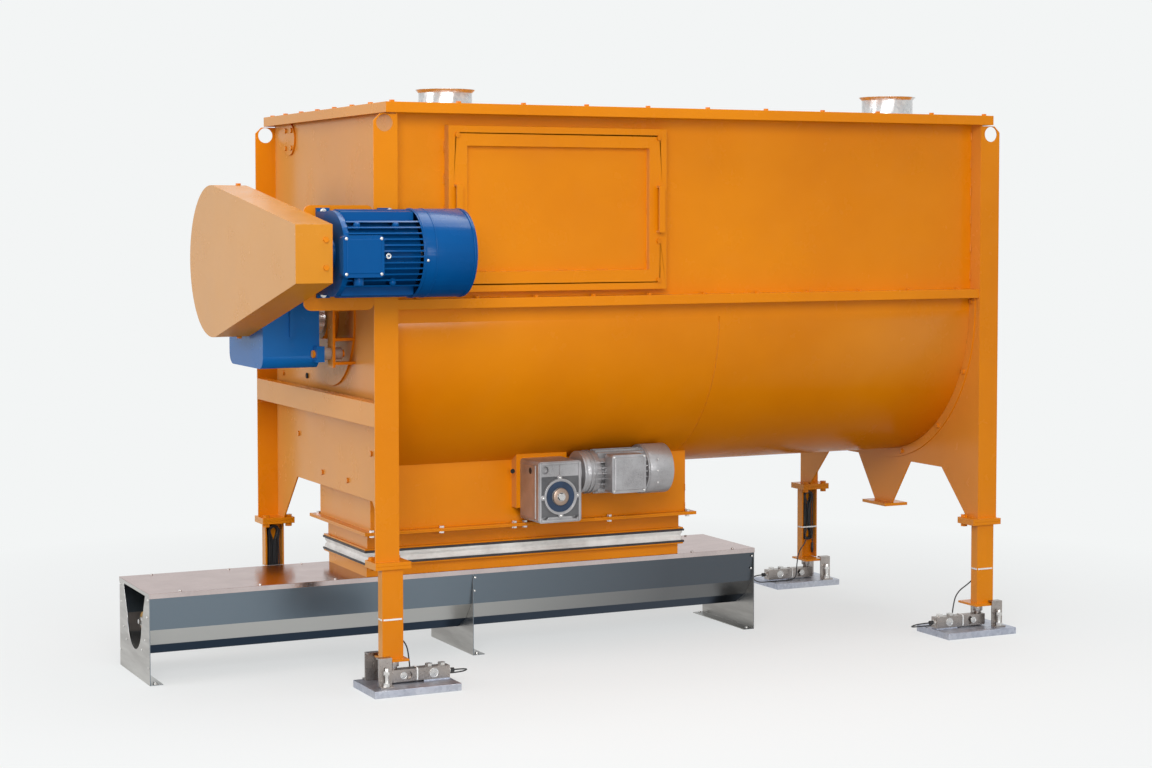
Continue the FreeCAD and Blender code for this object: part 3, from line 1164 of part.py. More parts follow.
def make_drive_shafts():
    centre = ("middle", "input_height")
    shaft = rod("input_shaft_rod", "x", centre, "pulley_left - 12", "gearbox_right - 34",
                "input_radius - 0.05")
    node("gearbox_input_shaft", group("input_shaft_set", [shaft]))
    make_pulley("gearbox_pulley", "middle", "input_height", "gear_pulley_radius", "input_radius", True)
    axis = ("motor_across", "motor_axis")
    rotor = rod("motor_rotor_rod", "x", axis, "pulley_left - 12", "motor_right + cowl_length * 0.62",
                "motor_shaft_radius - 0.05")
    disc = rod("motor_fan_disc", "x", axis, "motor_right + 60", "motor_right + 66", "cowl_radius * 0.8")
    hub = rod("motor_fan_hub", "x", axis, "motor_right + 50", "motor_right + 100", "motor_shaft_radius + 12")
    blades = [block(f"motor_fan_blade_{i}", ("motor_right + 64", "motor_right + 100"), *span) for i,
              span in enumerate((
        (("motor_across - 2", "motor_across + 2"),
         ("motor_axis - cowl_radius * 0.8", "motor_axis + cowl_radius * 0.8")),
        (("motor_across - cowl_radius * 0.8", "motor_across + cowl_radius * 0.8"),
         ("motor_axis - 2", "motor_axis + 2"))))]
    node("motor_shaft", fuse("motor_shaft_whole", rotor, disc, hub, *blades))
    make_pulley("motor_pulley", "motor_across", "motor_axis", "motor_pulley_radius", "motor_shaft_radius",
                False)


def ring_frame(name, along, across, up, wall):
    """Four walls standing on a rectangle."""
    outside = block(name + "_outside", along, across, up)
    inside = block(name + "_inside", (f"({along[0]}) + {wall}", f"({along[1]}) - {wall}"),
                   (f"({across[0]}) + {wall}", f"({across[1]}) - {wall}"),
                   (f"({up[0]}) - 5", f"({up[1]}) + 5"))
    return cut(name, outside, inside)


def around(half):
    return (f"middle - ({half})", f"middle + ({half})")


def make_outlet():
    along = ("outlet_left", "outlet_right")
    walls = ring_frame("outlet_walls", along, around("outlet_half"),
                       ("outlet_bottom", "axis_height - trough_radius"), "outlet_sheet")
    flange_along = ("outlet_left - outlet_flange", "outlet_right + outlet_flange")
    flange_half = "outlet_half + outlet_flange"
    flange_wall = "outlet_flange + outlet_sheet"
    flange = ring_frame("outlet_flange_ring", flange_along, around(flange_half),
                        ("outlet_bottom", "outlet_bottom + flange_sheet"), flange_wall)
    tall = ring_frame("outlet_cheeks", along, around("outlet_half"),
                      ("outlet_bottom", "axis_height - trough_radius + 120"), "outlet_sheet")
    inside_span = (f"{along[0]} + outlet_sheet / 2", f"{along[1]} - outlet_sheet / 2")
    rails = [block(f"gate_rail_{side}", inside_span, span, ("gate_bottom - gate_clearance - port_sheet",
                                                            "gate_bottom - gate_clearance"))
             for side, span in (("front", ("outlet_front", "middle - gate_half + rail_width")),
                                ("rear", ("middle + gate_half - rail_width", "middle + outlet_half")))]
    ports = cut("port_plate",
                block("port_sheet_blank", inside_span, around("outlet_half - outlet_sheet / 2"),
                                    ("port_bottom", "port_top")),
                *port_blocks("port_hole", "port_bottom - 5", "port_top + 5"))
    half_mount = "mount_length / 2"
    mount_along = (f"gate_drive_along - {half_mount}", f"gate_drive_along + {half_mount}")
    mount_up = ("gate_drive_height + worm_height / 2 - worm_below / 2 - mount_height / 2 - 16",
                "gate_drive_height + worm_height / 2 - worm_below / 2 + mount_height / 2 - 16")
    face = block("mount_face", mount_along, ("mount_front", "mount_front + mount_sheet"), mount_up)
    cheeks = [block(f"mount_cheek_{i}", span, ("mount_front", "outlet_front + outlet_sheet / 2"), mount_up)
              for i, span in enumerate(((mount_along[0], f"{mount_along[0]} + mount_sheet"),
                                        (f"{mount_along[1]} - mount_sheet", mount_along[1])))]
    whole = fuse("outlet_whole", walls, tall, flange, *rails, ports, face, *cheeks)
    saddle = rod("outlet_saddle", "x", ("middle", "axis_height"), "outlet_left - 5", "outlet_right + 5",
                 "trough_radius + wall_sheet")
    axis = ("gate_drive_along", "gate_drive_height")
    bore = rod("outlet_bore", "y", axis, "mount_front - 5", "middle", "pinion_shaft_radius + 1")
    rear_bore = rod("outlet_rear_bore", "y", axis, "middle + outlet_half - 20", "middle + outlet_half + 5",
                    "pinion_shaft_radius + shaft_fit")
    node("outlet_box", cut("outlet_cut", whole, saddle, bore, rear_bore))

    skirt_along = ("cuff_left + cuff_inset", "cuff_right - cuff_inset")
    skirt_half = "cuff_half - cuff_inset"
    flat = block("skirt_flat", flange_along, around(flange_half),
                 ("outlet_bottom - flange_sheet", "outlet_bottom"))
    mouth = block("skirt_mouth", (f"{skirt_along[0]} + outlet_sheet", f"{skirt_along[1]} - outlet_sheet"),
                  around(f"{skirt_half} - outlet_sheet"),
                  ("outlet_bottom - flange_sheet - 5", "outlet_bottom + 5"))
    top = cut("skirt_top", flat, mouth)
    body = ring_frame("skirt_walls", skirt_along, around(skirt_half), ("skirt_bottom", "outlet_bottom"),
                      "outlet_sheet")
    foot = ring_frame("skirt_foot", ("cuff_left", "cuff_right"), around("cuff_half"),
                      ("skirt_bottom - flange_sheet", "skirt_bottom"), "cuff_inset + outlet_sheet")
    node("outlet_skirt", fuse("skirt_whole", top, body, foot))


def gear_profile(teeth, module):
    """Straight-sided teeth: four corners for each, tip and root."""
    pitch = module * teeth / 2
    points = []
    for index in range(teeth):
        for radius, angle in ((pitch - 1.25 * module, -0.62), (pitch + module, -0.2),
                              (pitch + module, 0.2), (pitch - 1.25 * module, 0.62)):
            turn = 2 * math.pi * index / teeth + angle * math.pi / teeth
            points.append(FreeCAD.Vector(radius * math.cos(turn), 0, radius * math.sin(turn)))
    return points


def make_gate():
    """A flat slide with ports half a pitch out of line, two racks below and their pinions."""
    start, end = "outlet_left + gate_run", "outlet_right - gate_run - gate_stroke"
    slab = block("gate_slab", (start, end), around("gate_half"), ("gate_bottom", "gate_top"))
    holes = port_blocks("gate_hole", "gate_bottom - 5", "gate_top + 5", "-gate_stroke")[1:]
    plate = cut("gate_plate", slab, *holes)
    module, root = size("pinion_module"), size("rack_root")
    pitch, line = math.pi * module, size("rack_pitch_line")
    middle = size("gate_drive_along")
    count = int((size("gate_stroke") + 90) / pitch / 2)
    racks = []
    for side in (-1, 1):
        across = size("middle") + side * size("rack_across") - size("pinion_width") / 2
        low, high = middle - size("gate_stroke") - 45, middle + 45
        points = [FreeCAD.Vector(low, across, size("gate_bottom")), FreeCAD.Vector(low, across, root)]
        for index in range(-2 * count, count):
            centre = middle + (index + 0.5) * pitch
            if low + pitch / 2 < centre < high - pitch / 2:
                half_root, half_tip = pitch * 0.36, pitch * 0.13
                tip = line - module
                points += [FreeCAD.Vector(centre - half_root, across, root),
                           FreeCAD.Vector(centre - half_tip, across, tip),
                           FreeCAD.Vector(centre + half_tip, across, tip),
                           FreeCAD.Vector(centre + half_root, across, root)]
        points += [FreeCAD.Vector(high, across, root), FreeCAD.Vector(high, across, size("gate_bottom"))]
        face = Part.Face(Part.makePolygon(points + points[:1]))
        racks.append(fixed(f"rack_{side}", face.extrude(FreeCAD.Vector(0, size("pinion_width"), 0))))
    node("slide_gate", fuse("gate_with_racks", plate, *racks))

    axis = ("gate_drive_along", "gate_drive_height")
    shaft = rod("pinion_shaft_rod", "y", axis, "worm_front - 14", "middle + outlet_half + 8",
                "pinion_shaft_radius")
    washer = rod("pinion_washer", "y", axis, "worm_front - 8", "worm_front - 1", "worm_hub")
    head = hexagon("pinion_bolt", "y", axis, "worm_front - 20", "worm_front - 8", "stand_bolt_flats")
    pinions = []
    for side in (-1, 1):
        points = gear_profile(int(size("pinion_teeth")), module)
        face = Part.Face(Part.makePolygon(points + points[:1]))
        solid = face.extrude(FreeCAD.Vector(0, size("pinion_width"), 0))
        solid.rotate(FreeCAD.Vector(), FreeCAD.Vector(0, 1, 0), 90)
        across = size("middle") + side * size("rack_across") - size("pinion_width") / 2
        solid.translate(FreeCAD.Vector(middle, across, size("gate_drive_height")))
        pinions.append(fixed(f"pinion_{side}", solid))
    node("gate_pinion_shaft", fuse("pinion_shaft_whole", shaft, washer, head, *pinions))


def make_gate_drive():
    """A worm gearbox with its motor on the outlet's front."""
    axis = ("gate_drive_along", "gate_drive_height")
    low = "gate_drive_height - worm_below"
    case = corner_bar("worm_case", ("gate_drive_along - worm_length / 2", "worm_right"),
                      ("worm_front", "mount_front"), (low, f"{low} + worm_height"), "worm_round", "y")
    worm_axis = ("worm_axis_across", "worm_axis_height")
    neck = rod("worm_neck", "x", worm_axis, "worm_right - 10", "gate_motor_left", "worm_neck")
    flange = rod("worm_flange", "x", worm_axis, "gate_motor_left - 12", "gate_motor_left",
                 "gate_motor_fins - 4")
    face_ring = rod("worm_face_ring", "y", axis, "worm_front - 5", "worm_front + 5", "worm_ring + 4")
    pockets = []
    for i, (x, z) in enumerate(((-1, -1), (1, -1), (-1, 1))):
        level = f"{low} + 26" if z < 0 else f"{low} + worm_height - 30"
        pockets.append(rod(f"worm_pocket_{i}", "y",
                           (f"gate_drive_along + ({x}) * (worm_length / 2 - 26)", level),
                           "worm_front - 5", "worm_front + 16", "15"))
    recess = rod("worm_recess", "y", axis, "worm_front - 10", "worm_front - 1", "worm_ring")
    bore = rod("worm_bore", "y", axis, "worm_front - 10", "mount_front + 5",
               "pinion_shaft_radius + shaft_fit")
    whole = fuse("worm_whole", case, neck, flange, face_ring)
    node("gate_gearbox", cut("worm_cut", whole, *pockets, recess, bore))

    left, right = "gate_motor_left", "gate_cowl_left"
    core = rod("gate_motor_core_rod", "x", worm_axis, left, right, "gate_motor_core")
    envelope = rod("gate_motor_envelope", "x", worm_axis, f"{left} + 55", right, "gate_motor_fins")
    fins = []
    for index in range(5):
        shift = f"({index} - 2) * 20"
        fins.append(block(f"gate_fin_level_{index}", (f"{left} + 55", right), ("worm_axis_across - 90",
                    "worm_axis_across + 90"),
                    (f"worm_axis_height + {shift} - 2", f"worm_axis_height + {shift} + 2")))
        fins.append(block(f"gate_fin_upright_{index}", (f"{left} + 55", right),
                          (f"worm_axis_across + {shift} - 2",
                    f"worm_axis_across + {shift} + 2"), ("worm_axis_height - 90", "worm_axis_height + 90")))
    trimmed = doc.addObject("Part::Common", "gate_fins_trimmed")
    trimmed.Base, trimmed.Tool = fuse("gate_fin_set", *fins), envelope
    shield = rod("gate_motor_shield", "x", worm_axis, left, f"{left} + 55", "gate_motor_fins - 6")
    box_along = (f"{right} - 40 - gate_box_length", f"{right} - 40")
    box_up = ("worm_axis_height - gate_box_height / 2", "worm_axis_height + gate_box_height / 2")
    seat = block("gate_box_seat", box_along,
                 ("gate_box_front - 5", "worm_axis_across - gate_motor_core - 2"), box_up)
    back = rod("gate_motor_back", "x", worm_axis, f"{right} - 8", right, "gate_cowl_radius - 1")
    stator = cut("gate_stator", fuse("gate_stator_whole", core, trimmed, shield, back), seat)
    box = corner_bar("gate_box", box_along, ("gate_box_front", "worm_axis_across - gate_motor_core - 2.3"),
                     box_up,
                     "gate_box_round", "y")
    cowl_end = f"{right} + gate_cowl_length"
    cowl = rod("gate_cowl_outside", "x", worm_axis, right, cowl_end, "gate_cowl_radius")
    inside = rod("gate_cowl_inside", "x", worm_axis, f"{right} - 5", f"{cowl_end} - cowl_sheet",
                 "gate_cowl_radius - cowl_sheet")
    vents = [block(f"gate_cowl_slot_{i}", (f"{cowl_end} - 8", f"{cowl_end} + 5"),
                   ("worm_axis_across - 50", "worm_axis_across + 50"),
                   (f"worm_axis_height + ({i} - 1) * 30 - 6", f"worm_axis_height + ({i} - 1) * 30 + 6"))
             for i in range(3)]
    shell = cut("gate_cowl_cut", cowl, inside, *vents)
    node("gate_motor", group("gate_motor_pieces", [stator, box, shell]))


def make_cuff():
    along = ("cuff_left", "cuff_right")
    clamps = [ring_frame(f"clamp_{name}", (f"{along[0]} - 3", f"{along[1]} + 3"), around("cuff_half + 3"),
                         (low, f"{low} + clamp_height"), "clamp_width")
              for name, low in (("upper", "cuff_top"), ("lower", "cuff_bottom - clamp_height"))]
    node("cuff_clamps", group("clamps", clamps))
    node("flexible_cuff", ring_frame("cuff_ring", along, around("cuff_half"), ("cuff_bottom", "cuff_top"),
                                     "cuff_cloth"))
    frame_along = (f"{along[0]} + cuff_inset", f"{along[1]} - cuff_inset")
    walls = ring_frame("frame_walls", frame_along, around("cuff_half - cuff_inset - 8"),
                       ("lid_top", "frame_top"), "outlet_sheet")
    flange = ring_frame("frame_flange", along, around("cuff_half"),
                        ("frame_top - flange_sheet", "frame_top"),
                        "cuff_inset + 8 + outlet_sheet")
    node("inlet_frame", fuse("frame_whole", walls, flange))


def trough_corners(extra="0"):
    """The folded conveyor trough's outer corners, front rim to rear rim."""
    halves = [("conveyor_half", "conveyor_top"), ("fold_high_half", "fold_high"),
              ("fold_low_half", "fold_low"),
              ("conveyor_floor_half", "conveyor_floor")]
    points = [(f"middle - ({a}) - ({extra})", f"{b} - ({extra}) * {int(i > 0)}") for i,
              (a, b) in enumerate(halves)]
    return points + [(f"middle + ({a}) + ({extra})", f"{b} - ({extra}) * {int(i > 0)}")
                     for i, (a, b) in reversed(list(enumerate(halves)))]


def make_conveyor():
    body = new_body("conveyor_trough_body")
    pad(body, "yz", "conveyor_left", "conveyor_right", trough_corners(), "conveyor_blank")
    hollow(body, "conveyor_sheet", "conveyor_fold", lambda side: abs(side.x) > 0.99 or side.z > 0.99)
    node("conveyor_trough", body)

    lid = block("lid_blank", ("conveyor_left - support_sheet", "conveyor_right + support_sheet"),
                around("conveyor_half + lid_sheet + 0.3"), ("conveyor_top - lid_rim", "lid_top"))
    under = block("lid_under", ("conveyor_left - support_sheet - 5", "conveyor_right + support_sheet + 5"),
                  around("conveyor_half + 0.3"), ("conveyor_top - lid_rim - 5", "conveyor_top"))
    mouth = block("lid_mouth",
                  ("cuff_left + cuff_inset + outlet_sheet", "cuff_right - cuff_inset - outlet_sheet"),
                  around("cuff_half - cuff_inset - 8 - outlet_sheet"), ("conveyor_top - 5", "lid_top + 5"))
    node("conveyor_lid", cut("lid_cut", lid, under, mouth))

    supports = []
    plate = rectangle(around("conveyor_half"), ("0", "conveyor_top"))
    for name, left, right, foot in (
            ("left", "conveyor_left - support_sheet", "conveyor_left", "right"),
            ("middle", "middle_support_left", "middle_support_left + support_sheet", "right"),
            ("right", "conveyor_right", "conveyor_right + support_sheet", "left")):
        body = new_body(f"support_{name}")
        holes = [("middle", "auger_height", "auger_tube + 1")] if name == "right" else []
        pad(body, "yz", left, right, plate, f"support_{name}_plate", holes)
        ends = (left, f"{right} + support_foot") if foot == "right" else (f"{left} - support_foot", right)
        pad(body, "xy", "0", "support_sheet", rectangle(ends, around("conveyor_half")),
            f"support_{name}_foot")
        piece = body
        if name == "middle":
            opening = new_body("support_opening")
            pad(opening, "yz", f"{left} - 5", f"{right} + 5", trough_corners("seat_gap"),
                "support_opening_pad")
            piece = cut("support_middle_cut", body, opening)
        if name == "left":
            opening = new_body("support_window")
            low, centre = "auger_height", ("middle", "auger_height")
            pad(opening, "yz", f"{left} - 5", f"{right} + 5",
                [("middle - window_half", "conveyor_top - 12"),
                 ("middle - window_low", low, *centre, "round"),
                 ("middle + window_low", low), ("middle + window_half", "conveyor_top - 12")],
                 "support_window_pad")
            piece = cut("support_left_cut", body, opening)
        supports.append(piece)
    node("conveyor_supports", group("supports", supports))

    tube = rod("auger_tube_rod", "x", ("middle", "auger_height"), "conveyor_left + auger_start",
               "conveyor_right + support_sheet + auger_end", "auger_tube")
    flight = helix_sweep(size("auger_pitch"), size("auger_run"), size("auger_tube") - 1,
                         size("auger_radius"), size("flight_sheet"), False)
    flight.translate(FreeCAD.Vector(size("conveyor_left") + size("auger_start") + 20, size("middle"),
                                    size("auger_height")))
    node("auger", fuse("auger_whole", tube, fixed("auger_flight", flight)))


def cable_route(along, across):
    """The cable's corners: out of the gland, back along the pad and up into the channel."""
    turn, rear, far = "cable_start + cable_run", "pad_across + cable_side", "foot_right + 42"
    low = "pad_height + cable_radius + 0.5"
    corners_of_route = [
        ("cable_start", "pad_across", "cell_middle"),
        (turn, "pad_across", "cell_middle"),
        (turn, rear, f"{low} + 1"),
        (f"({turn}) * 2 / 3 + ({far}) / 3", f"{rear} + 1.5", f"{low} + 0.5"),
        (f"({turn}) / 3 + ({far}) * 2 / 3", f"{rear} - 1", low),
        (far, rear, low),
        ("foot_right + 38", f"{rear} - 1", f"{low} + 60"),
        ("foot_right + 26", f"{rear} - 6.5", "foot_top + 36"),
        ("stand_along + 26", "channel_back + 19", "foot_top + 76"),
        ("hank_side", "hank_face", "foot_top + 108"),
        ("hank_side", "hank_face", "hank_bottom"),
    ]
    return [FreeCAD.Vector(worth(turned(a, along)), worth(faced(b, across)), worth(c))
            for a, b, c in corners_of_route]


def tube(name, points, radius):
    """A round tube on straight runs joined by tangent arcs."""
    edges, start, radii = [], points[0], []
    for before, corner, after in zip(points, points[1:], points[2:]):
        into, out = (corner - before), (after - corner)
        half_turn = into.getAngle(out) / 2
        reach = 0.45 * min(into.Length, out.Length)
        radii.append(round(reach / math.tan(half_turn), 1))
        into.normalize()
        out.normalize()
        first, last = corner - into * reach, corner + out * reach
        inward = (out - into).normalize()
        apex = corner + inward * (radii[-1] / math.cos(half_turn) - radii[-1])
        edges.append(Part.makeLine(start, first))
        edges.append(Part.Arc(first, apex, last).toShape())
        start = last
    edges.append(Part.makeLine(start, points[-1]))
    length = sum(edge.Length for edge in edges)
    ring = Part.Wire(Part.makeCircle(radius, points[0], points[1] - points[0]))
    shape = Part.Wire(edges).makePipeShell([ring], True, False)
    expected = math.pi * radius * radius * length
    print(name, "bend radii", radii, "length", round(length, 1), "volume ratio",
          round(shape.Volume / expected, 4))
    return shape


def make_cables():
    for along, across in corners():
        tag = f"{across}_{along}"
        name = "cell_cable_" + tag
        node(name, fixed(name + "_tube", tube(name, cable_route(along, across), size("cable_radius"))))
        hank = corner_bar("hank_" + tag,
                          span_along("stand_along - hank_width / 2", "stand_along + hank_width / 2", along),
                          span_across("hank_across - hank_depth / 2", "hank_across + hank_depth / 2",
                                      across),
                          ("hank_bottom", "hank_bottom + hank_length"), "hank_corner", "z")
        node("cable_hank_" + tag, hank)


for side in ("left", "right"):
    make_end_wall(side)
make_trough()
for side in ("front", "rear"):
    make_long_wall(side)
make_cover()
make_spigots()
make_hatch()
make_leg_extensions()
make_cells()
make_panel_bolts()
make_blind_cover()
make_motor()
make_belts()
make_guard()
make_gearbox()
make_torque_stay()
make_bearings()
make_rotor()
make_drive_shafts()
make_outlet()
make_gate()
make_gate_drive()
make_cuff()
make_conveyor()
make_cables()
doc.recompute()

for item in doc.Objects:
    if "Invalid" in item.State or "Error" in item.State:
        raise RuntimeError(f"{item.Name} is {item.State}: {item.getStatusString()}")
for name, item in NODES.items():
    shape = item.Shape
    if shape.isNull() or not shape.isValid():
        raise RuntimeError(name + " has no valid shape")
    shape.exportStep(f"parts/{name}.step")
print(len(NODES), "sub-parts written")
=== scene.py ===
"""Looks of the feed mixer: materials, welds, cords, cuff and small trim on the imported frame."""
import math

import bmesh
import bpy
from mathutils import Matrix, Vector, noise

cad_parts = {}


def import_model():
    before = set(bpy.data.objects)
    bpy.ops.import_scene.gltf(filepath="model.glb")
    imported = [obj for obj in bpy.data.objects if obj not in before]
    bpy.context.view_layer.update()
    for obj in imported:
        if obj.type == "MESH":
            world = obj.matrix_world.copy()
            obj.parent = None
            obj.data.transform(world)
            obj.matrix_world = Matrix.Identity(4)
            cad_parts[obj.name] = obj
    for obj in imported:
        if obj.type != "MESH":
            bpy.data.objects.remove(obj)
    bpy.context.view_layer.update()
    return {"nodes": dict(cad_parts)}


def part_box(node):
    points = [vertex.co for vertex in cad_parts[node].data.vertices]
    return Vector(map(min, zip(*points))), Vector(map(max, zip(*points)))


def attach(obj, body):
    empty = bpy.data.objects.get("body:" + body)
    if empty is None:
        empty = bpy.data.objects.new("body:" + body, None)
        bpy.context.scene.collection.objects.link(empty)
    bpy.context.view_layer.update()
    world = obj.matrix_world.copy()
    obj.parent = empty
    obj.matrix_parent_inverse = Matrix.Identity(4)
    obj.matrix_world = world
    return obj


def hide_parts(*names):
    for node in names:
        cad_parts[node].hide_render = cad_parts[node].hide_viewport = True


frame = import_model()
NODES = frame["nodes"]

# Bodies of the frame that trim rides on
ROOT = "stand_and_body"
HATCH = "hatch"
AUGER = "conveyor_auger"
GATE_PINIONS = "gate_pinions"

# Ways that a face can look
FRONT, LEFT, RIGHT, UP = (0, -1, 0), (-1, 0, 0), (1, 0, 0), (0, 0, 1)

# Millimetres from the cover's front left corner to the frame's origin, and the rotor's axis from there
ORIGIN_ALONG, ORIGIN_ACROSS = 936.5, 553.75
AXIS_ACROSS, AXIS_HEIGHT = 668.5, 1255

# Metres: the planes in which the four feet mirror
MIDDLE_X, MIDDLE_Y = 0.3135, 0.11475


def at(x, y, z):
    """A place given in millimetres from the floor under the cover's front left corner."""
    return Vector(((x - ORIGIN_ALONG) / 1000, (y - ORIGIN_ACROSS) / 1000, z / 1000))


# ---------------------------------------------------------------- materials


class Paint:
    """A node tree built one line at a time."""

    def __init__(self, name):
        self.material = bpy.data.materials.new(name)
        self.material.use_nodes = True
        self.tree = self.material.node_tree
        self.tree.nodes.clear()
        self.surface = self.add("ShaderNodeBsdfPrincipled")
        self.out = self.add("ShaderNodeOutputMaterial")
        self.link(self.surface.outputs[0], self.out.inputs["Surface"])
        self.coords = self.add("ShaderNodeTexCoord").outputs["Object"]

    def add(self, kind, **values):
        item = self.tree.nodes.new(kind)
        for key, value in values.items():
            setattr(item, key, value)
        return item

    def link(self, source, target):
        self.tree.links.new(source, target)

    def set(self, **values):
        """Numbers that are the same all over the surface."""
        for key, value in values.items():
            self.surface.inputs[key.replace("_", " ")].default_value = value

    def maths(self, operation, *values):
        """A Math node, whose values are sockets or numbers."""
        item = self.add("ShaderNodeMath", operation=operation)
        for socket, value in zip(item.inputs, values):
            if isinstance(value, bpy.types.NodeSocket):
                self.link(value, socket)
            else:
                socket.default_value = value
        return item.outputs[0]

    def normal(self, axis):
        """One part of the surface's normal in the world's axes."""
        split = self.add("ShaderNodeSeparateXYZ")
        self.link(self.add("ShaderNodeNewGeometry").outputs["Normal"], split.inputs[0])
        return split.outputs[axis]

    def noise(self, scale, detail, roughness, stretch=None):
        item = self.add("ShaderNodeTexNoise")
        item.inputs["Scale"].default_value = scale
        item.inputs["Detail"].default_value = detail
        item.inputs["Roughness"].default_value = roughness
        self.link(self.stretched(stretch), item.inputs["Vector"])
        return item.outputs["Fac"]

    def stretched(self, stretch):
        if stretch is None:
            return self.coords
        item = self.add("ShaderNodeMapping")
        item.inputs["Scale"].default_value = stretch
        self.link(self.coords, item.inputs["Vector"])
        return item.outputs[0]

    def cells(self, scale, output="Color"):
        item = self.add("ShaderNodeTexVoronoi")
        item.inputs["Scale"].default_value = scale
        self.link(self.coords, item.inputs["Vector"])
        return item.outputs[output]

    def ramp(self, source, *stops):
        """Colours by (place, colour) stops."""
        item = self.add("ShaderNodeValToRGB")
        elements = item.color_ramp.elements
        while len(elements) < len(stops):
            elements.new(0.5)
        for element, (place, colour) in zip(elements, stops):
            element.position = place
            element.color = (*colour, 1)
        self.link(source, item.inputs[0])
        return item.outputs[0]

    def spread(self, source, low, high, start=0.3, end=0.7):
        """Start to end of the source, stretched to low to high."""
        item = self.add("ShaderNodeMapRange")
        for key, value in (("From Min", start), ("From Max", end), ("To Min", low), ("To Max", high)):
            item.inputs[key].default_value = value
        self.link(source, item.inputs[0])
        return item.outputs[0]

    def mix(self, first, second, share):
        item = self.add("ShaderNodeMix", data_type="RGBA", blend_type="MIX")
        for socket, value in ((0, share), (6, first), (7, second)):
            if isinstance(value, bpy.types.NodeSocket):
                self.link(value, item.inputs[socket])
            else:
                item.inputs[socket].default_value = (*value, 1)
        return item.outputs[2]

    def bumps(self, *layers):
        """Each layer is (height, strength, depth in metres)."""
        last = None
        for height, strength, depth in layers:
            item = self.add("ShaderNodeBump")
            item.inputs["Strength"].default_value = strength
            item.inputs["Distance"].default_value = depth
            self.link(height, item.inputs["Height"])
            if last:
                self.link(last, item.inputs["Normal"])
            last = item.outputs[0]
        self.link(last, self.surface.inputs["Normal"])

    def colour(self, source):
        self.link(source, self.surface.inputs["Base Color"])

    def rough(self, source):
        self.link(source, self.surface.inputs["Roughness"])


def facing_up(paint, low, high):
    """Low on walls to high on level tops, for dust and shine."""
    return paint.spread(paint.normal("Z"), low, high, 0.5, 1.0)


def enamel(name, deep, light, dust, pale_reflection, waves=0.05, gloss=0.22, share=0.42, crown=0.1):
    """Gloss enamel on sheet metal: orange peel, panel waves, dust, and a painted sheen that turns walls pale where
    they are seen at a grazing angle.

    Share is how far the painted sheen pales a wall, gloss the shine of walls, and crown what level tops add to it.
    """
    p = Paint(name)
    upright = p.spread(p.maths("ABSOLUTE", p.normal("Z")), 1.0, 0.0, 0.15, 0.5)
    above = p.spread(p.normal("Z"), 0.03, 1.0, -0.5, -0.05)
    base = p.ramp(p.noise(1.6, 4, 0.55), (0.32, deep), (0.68, light))
    base = p.mix(base, dust, p.spread(p.noise(9, 5, 0.6), 0.0, 0.04, 0.5, 0.8))
    base = p.mix(base, dust, facing_up(p, 0.0, 0.12))
    # Painted sheen: walls seen at a grazing angle are mixed towards a pale colour, as if they mirrored a bright
    # light from the side
    flat = p.add("ShaderNodeLayerWeight")
    flat.inputs["Blend"].default_value = 0.5
    painted_sheen = p.maths("MULTIPLY", p.spread(flat.outputs["Facing"], 0.0, share, 0.25, 0.62), upright)
    p.colour(p.mix(base, pale_reflection, painted_sheen))
    p.rough(p.spread(p.noise(7, 4, 0.6), 0.18, 0.30))
    p.set(IOR=1.45, Specular_IOR_Level=gloss)
    p.link(p.maths("MULTIPLY_ADD", above, gloss, facing_up(p, 0.0, crown)), p.surface.inputs["Specular IOR Level"])
    p.bumps((p.noise(1.9, 2, 0.4), waves, 0.02), (p.noise(420, 2, 0.5), 0.03, 0.0004))
    return p.material


def sheet_zinc(name):
    """Smooth zinc-coated sheet with painted reflections: navy where faces look down at the shaded floor, pale
    where folds lean down to the lit floor, dark slate on walls and pale again on faces that look up.
    """
    p = Paint(name)
    # Painted reflection: bands of colour chosen by how far each face looks up or down stand for what the sheet
    # would mirror
    level = p.spread(p.normal("Z"), 0.0, 1.0, -1.0, 1.0)
    # Each painted reflection band has its colour and its edge tint
    navy = ((0.014, 0.028, 0.048), (0.50, 0.53, 0.58))
    pale_reflection = ((0.50, 0.50, 0.485), (1, 1, 1))
    slate = ((0.170, 0.212, 0.250), (0.8, 0.8, 0.8))
    painted_bands = ((0.0, navy), (0.09, navy), (0.12, pale_reflection), (0.30, pale_reflection), (0.36, slate), (0.60, slate), (0.75, pale_reflection))
    base = p.ramp(level, *((place, painted_band[0]) for place, painted_band in painted_bands))
    # Painted shade: the sheet darkens towards its right end, under the mixer's body
    place = p.add("ShaderNodeSeparateXYZ")
    p.link(p.coords, place.inputs[0])
    base = p.mix(base, (0.07, 0.075, 0.085), p.spread(place.outputs["X"], 0.0, 0.75, -0.6, 0.4))
    ends = p.ramp(p.noise(3, 5, 0.6, (0.5, 1.0, 9.0)), (0.35, (0.36, 0.345, 0.325)), (0.65, (0.50, 0.485, 0.46)))
    end_share = p.spread(p.maths("ABSOLUTE", p.normal("X")), 0.0, 1.0, 0.5, 0.8)
    p.colour(p.mix(base, ends, end_share))
    # The edge tint follows the same painted reflection bands
    edge = p.ramp(level, *((place, painted_band[1]) for place, painted_band in painted_bands))
    p.link(p.mix(edge, (1, 1, 1), end_share), p.surface.inputs["Specular Tint"])
    p.rough(p.spread(p.noise(2, 3, 0.5), 0.28, 0.34))
    p.set(Metallic=1.0)
    p.bumps((p.noise(1.4, 1, 0.3), 0.02, 0.02), (p.noise(500, 2, 0.5), 0.01, 0.0001))
    return p.material


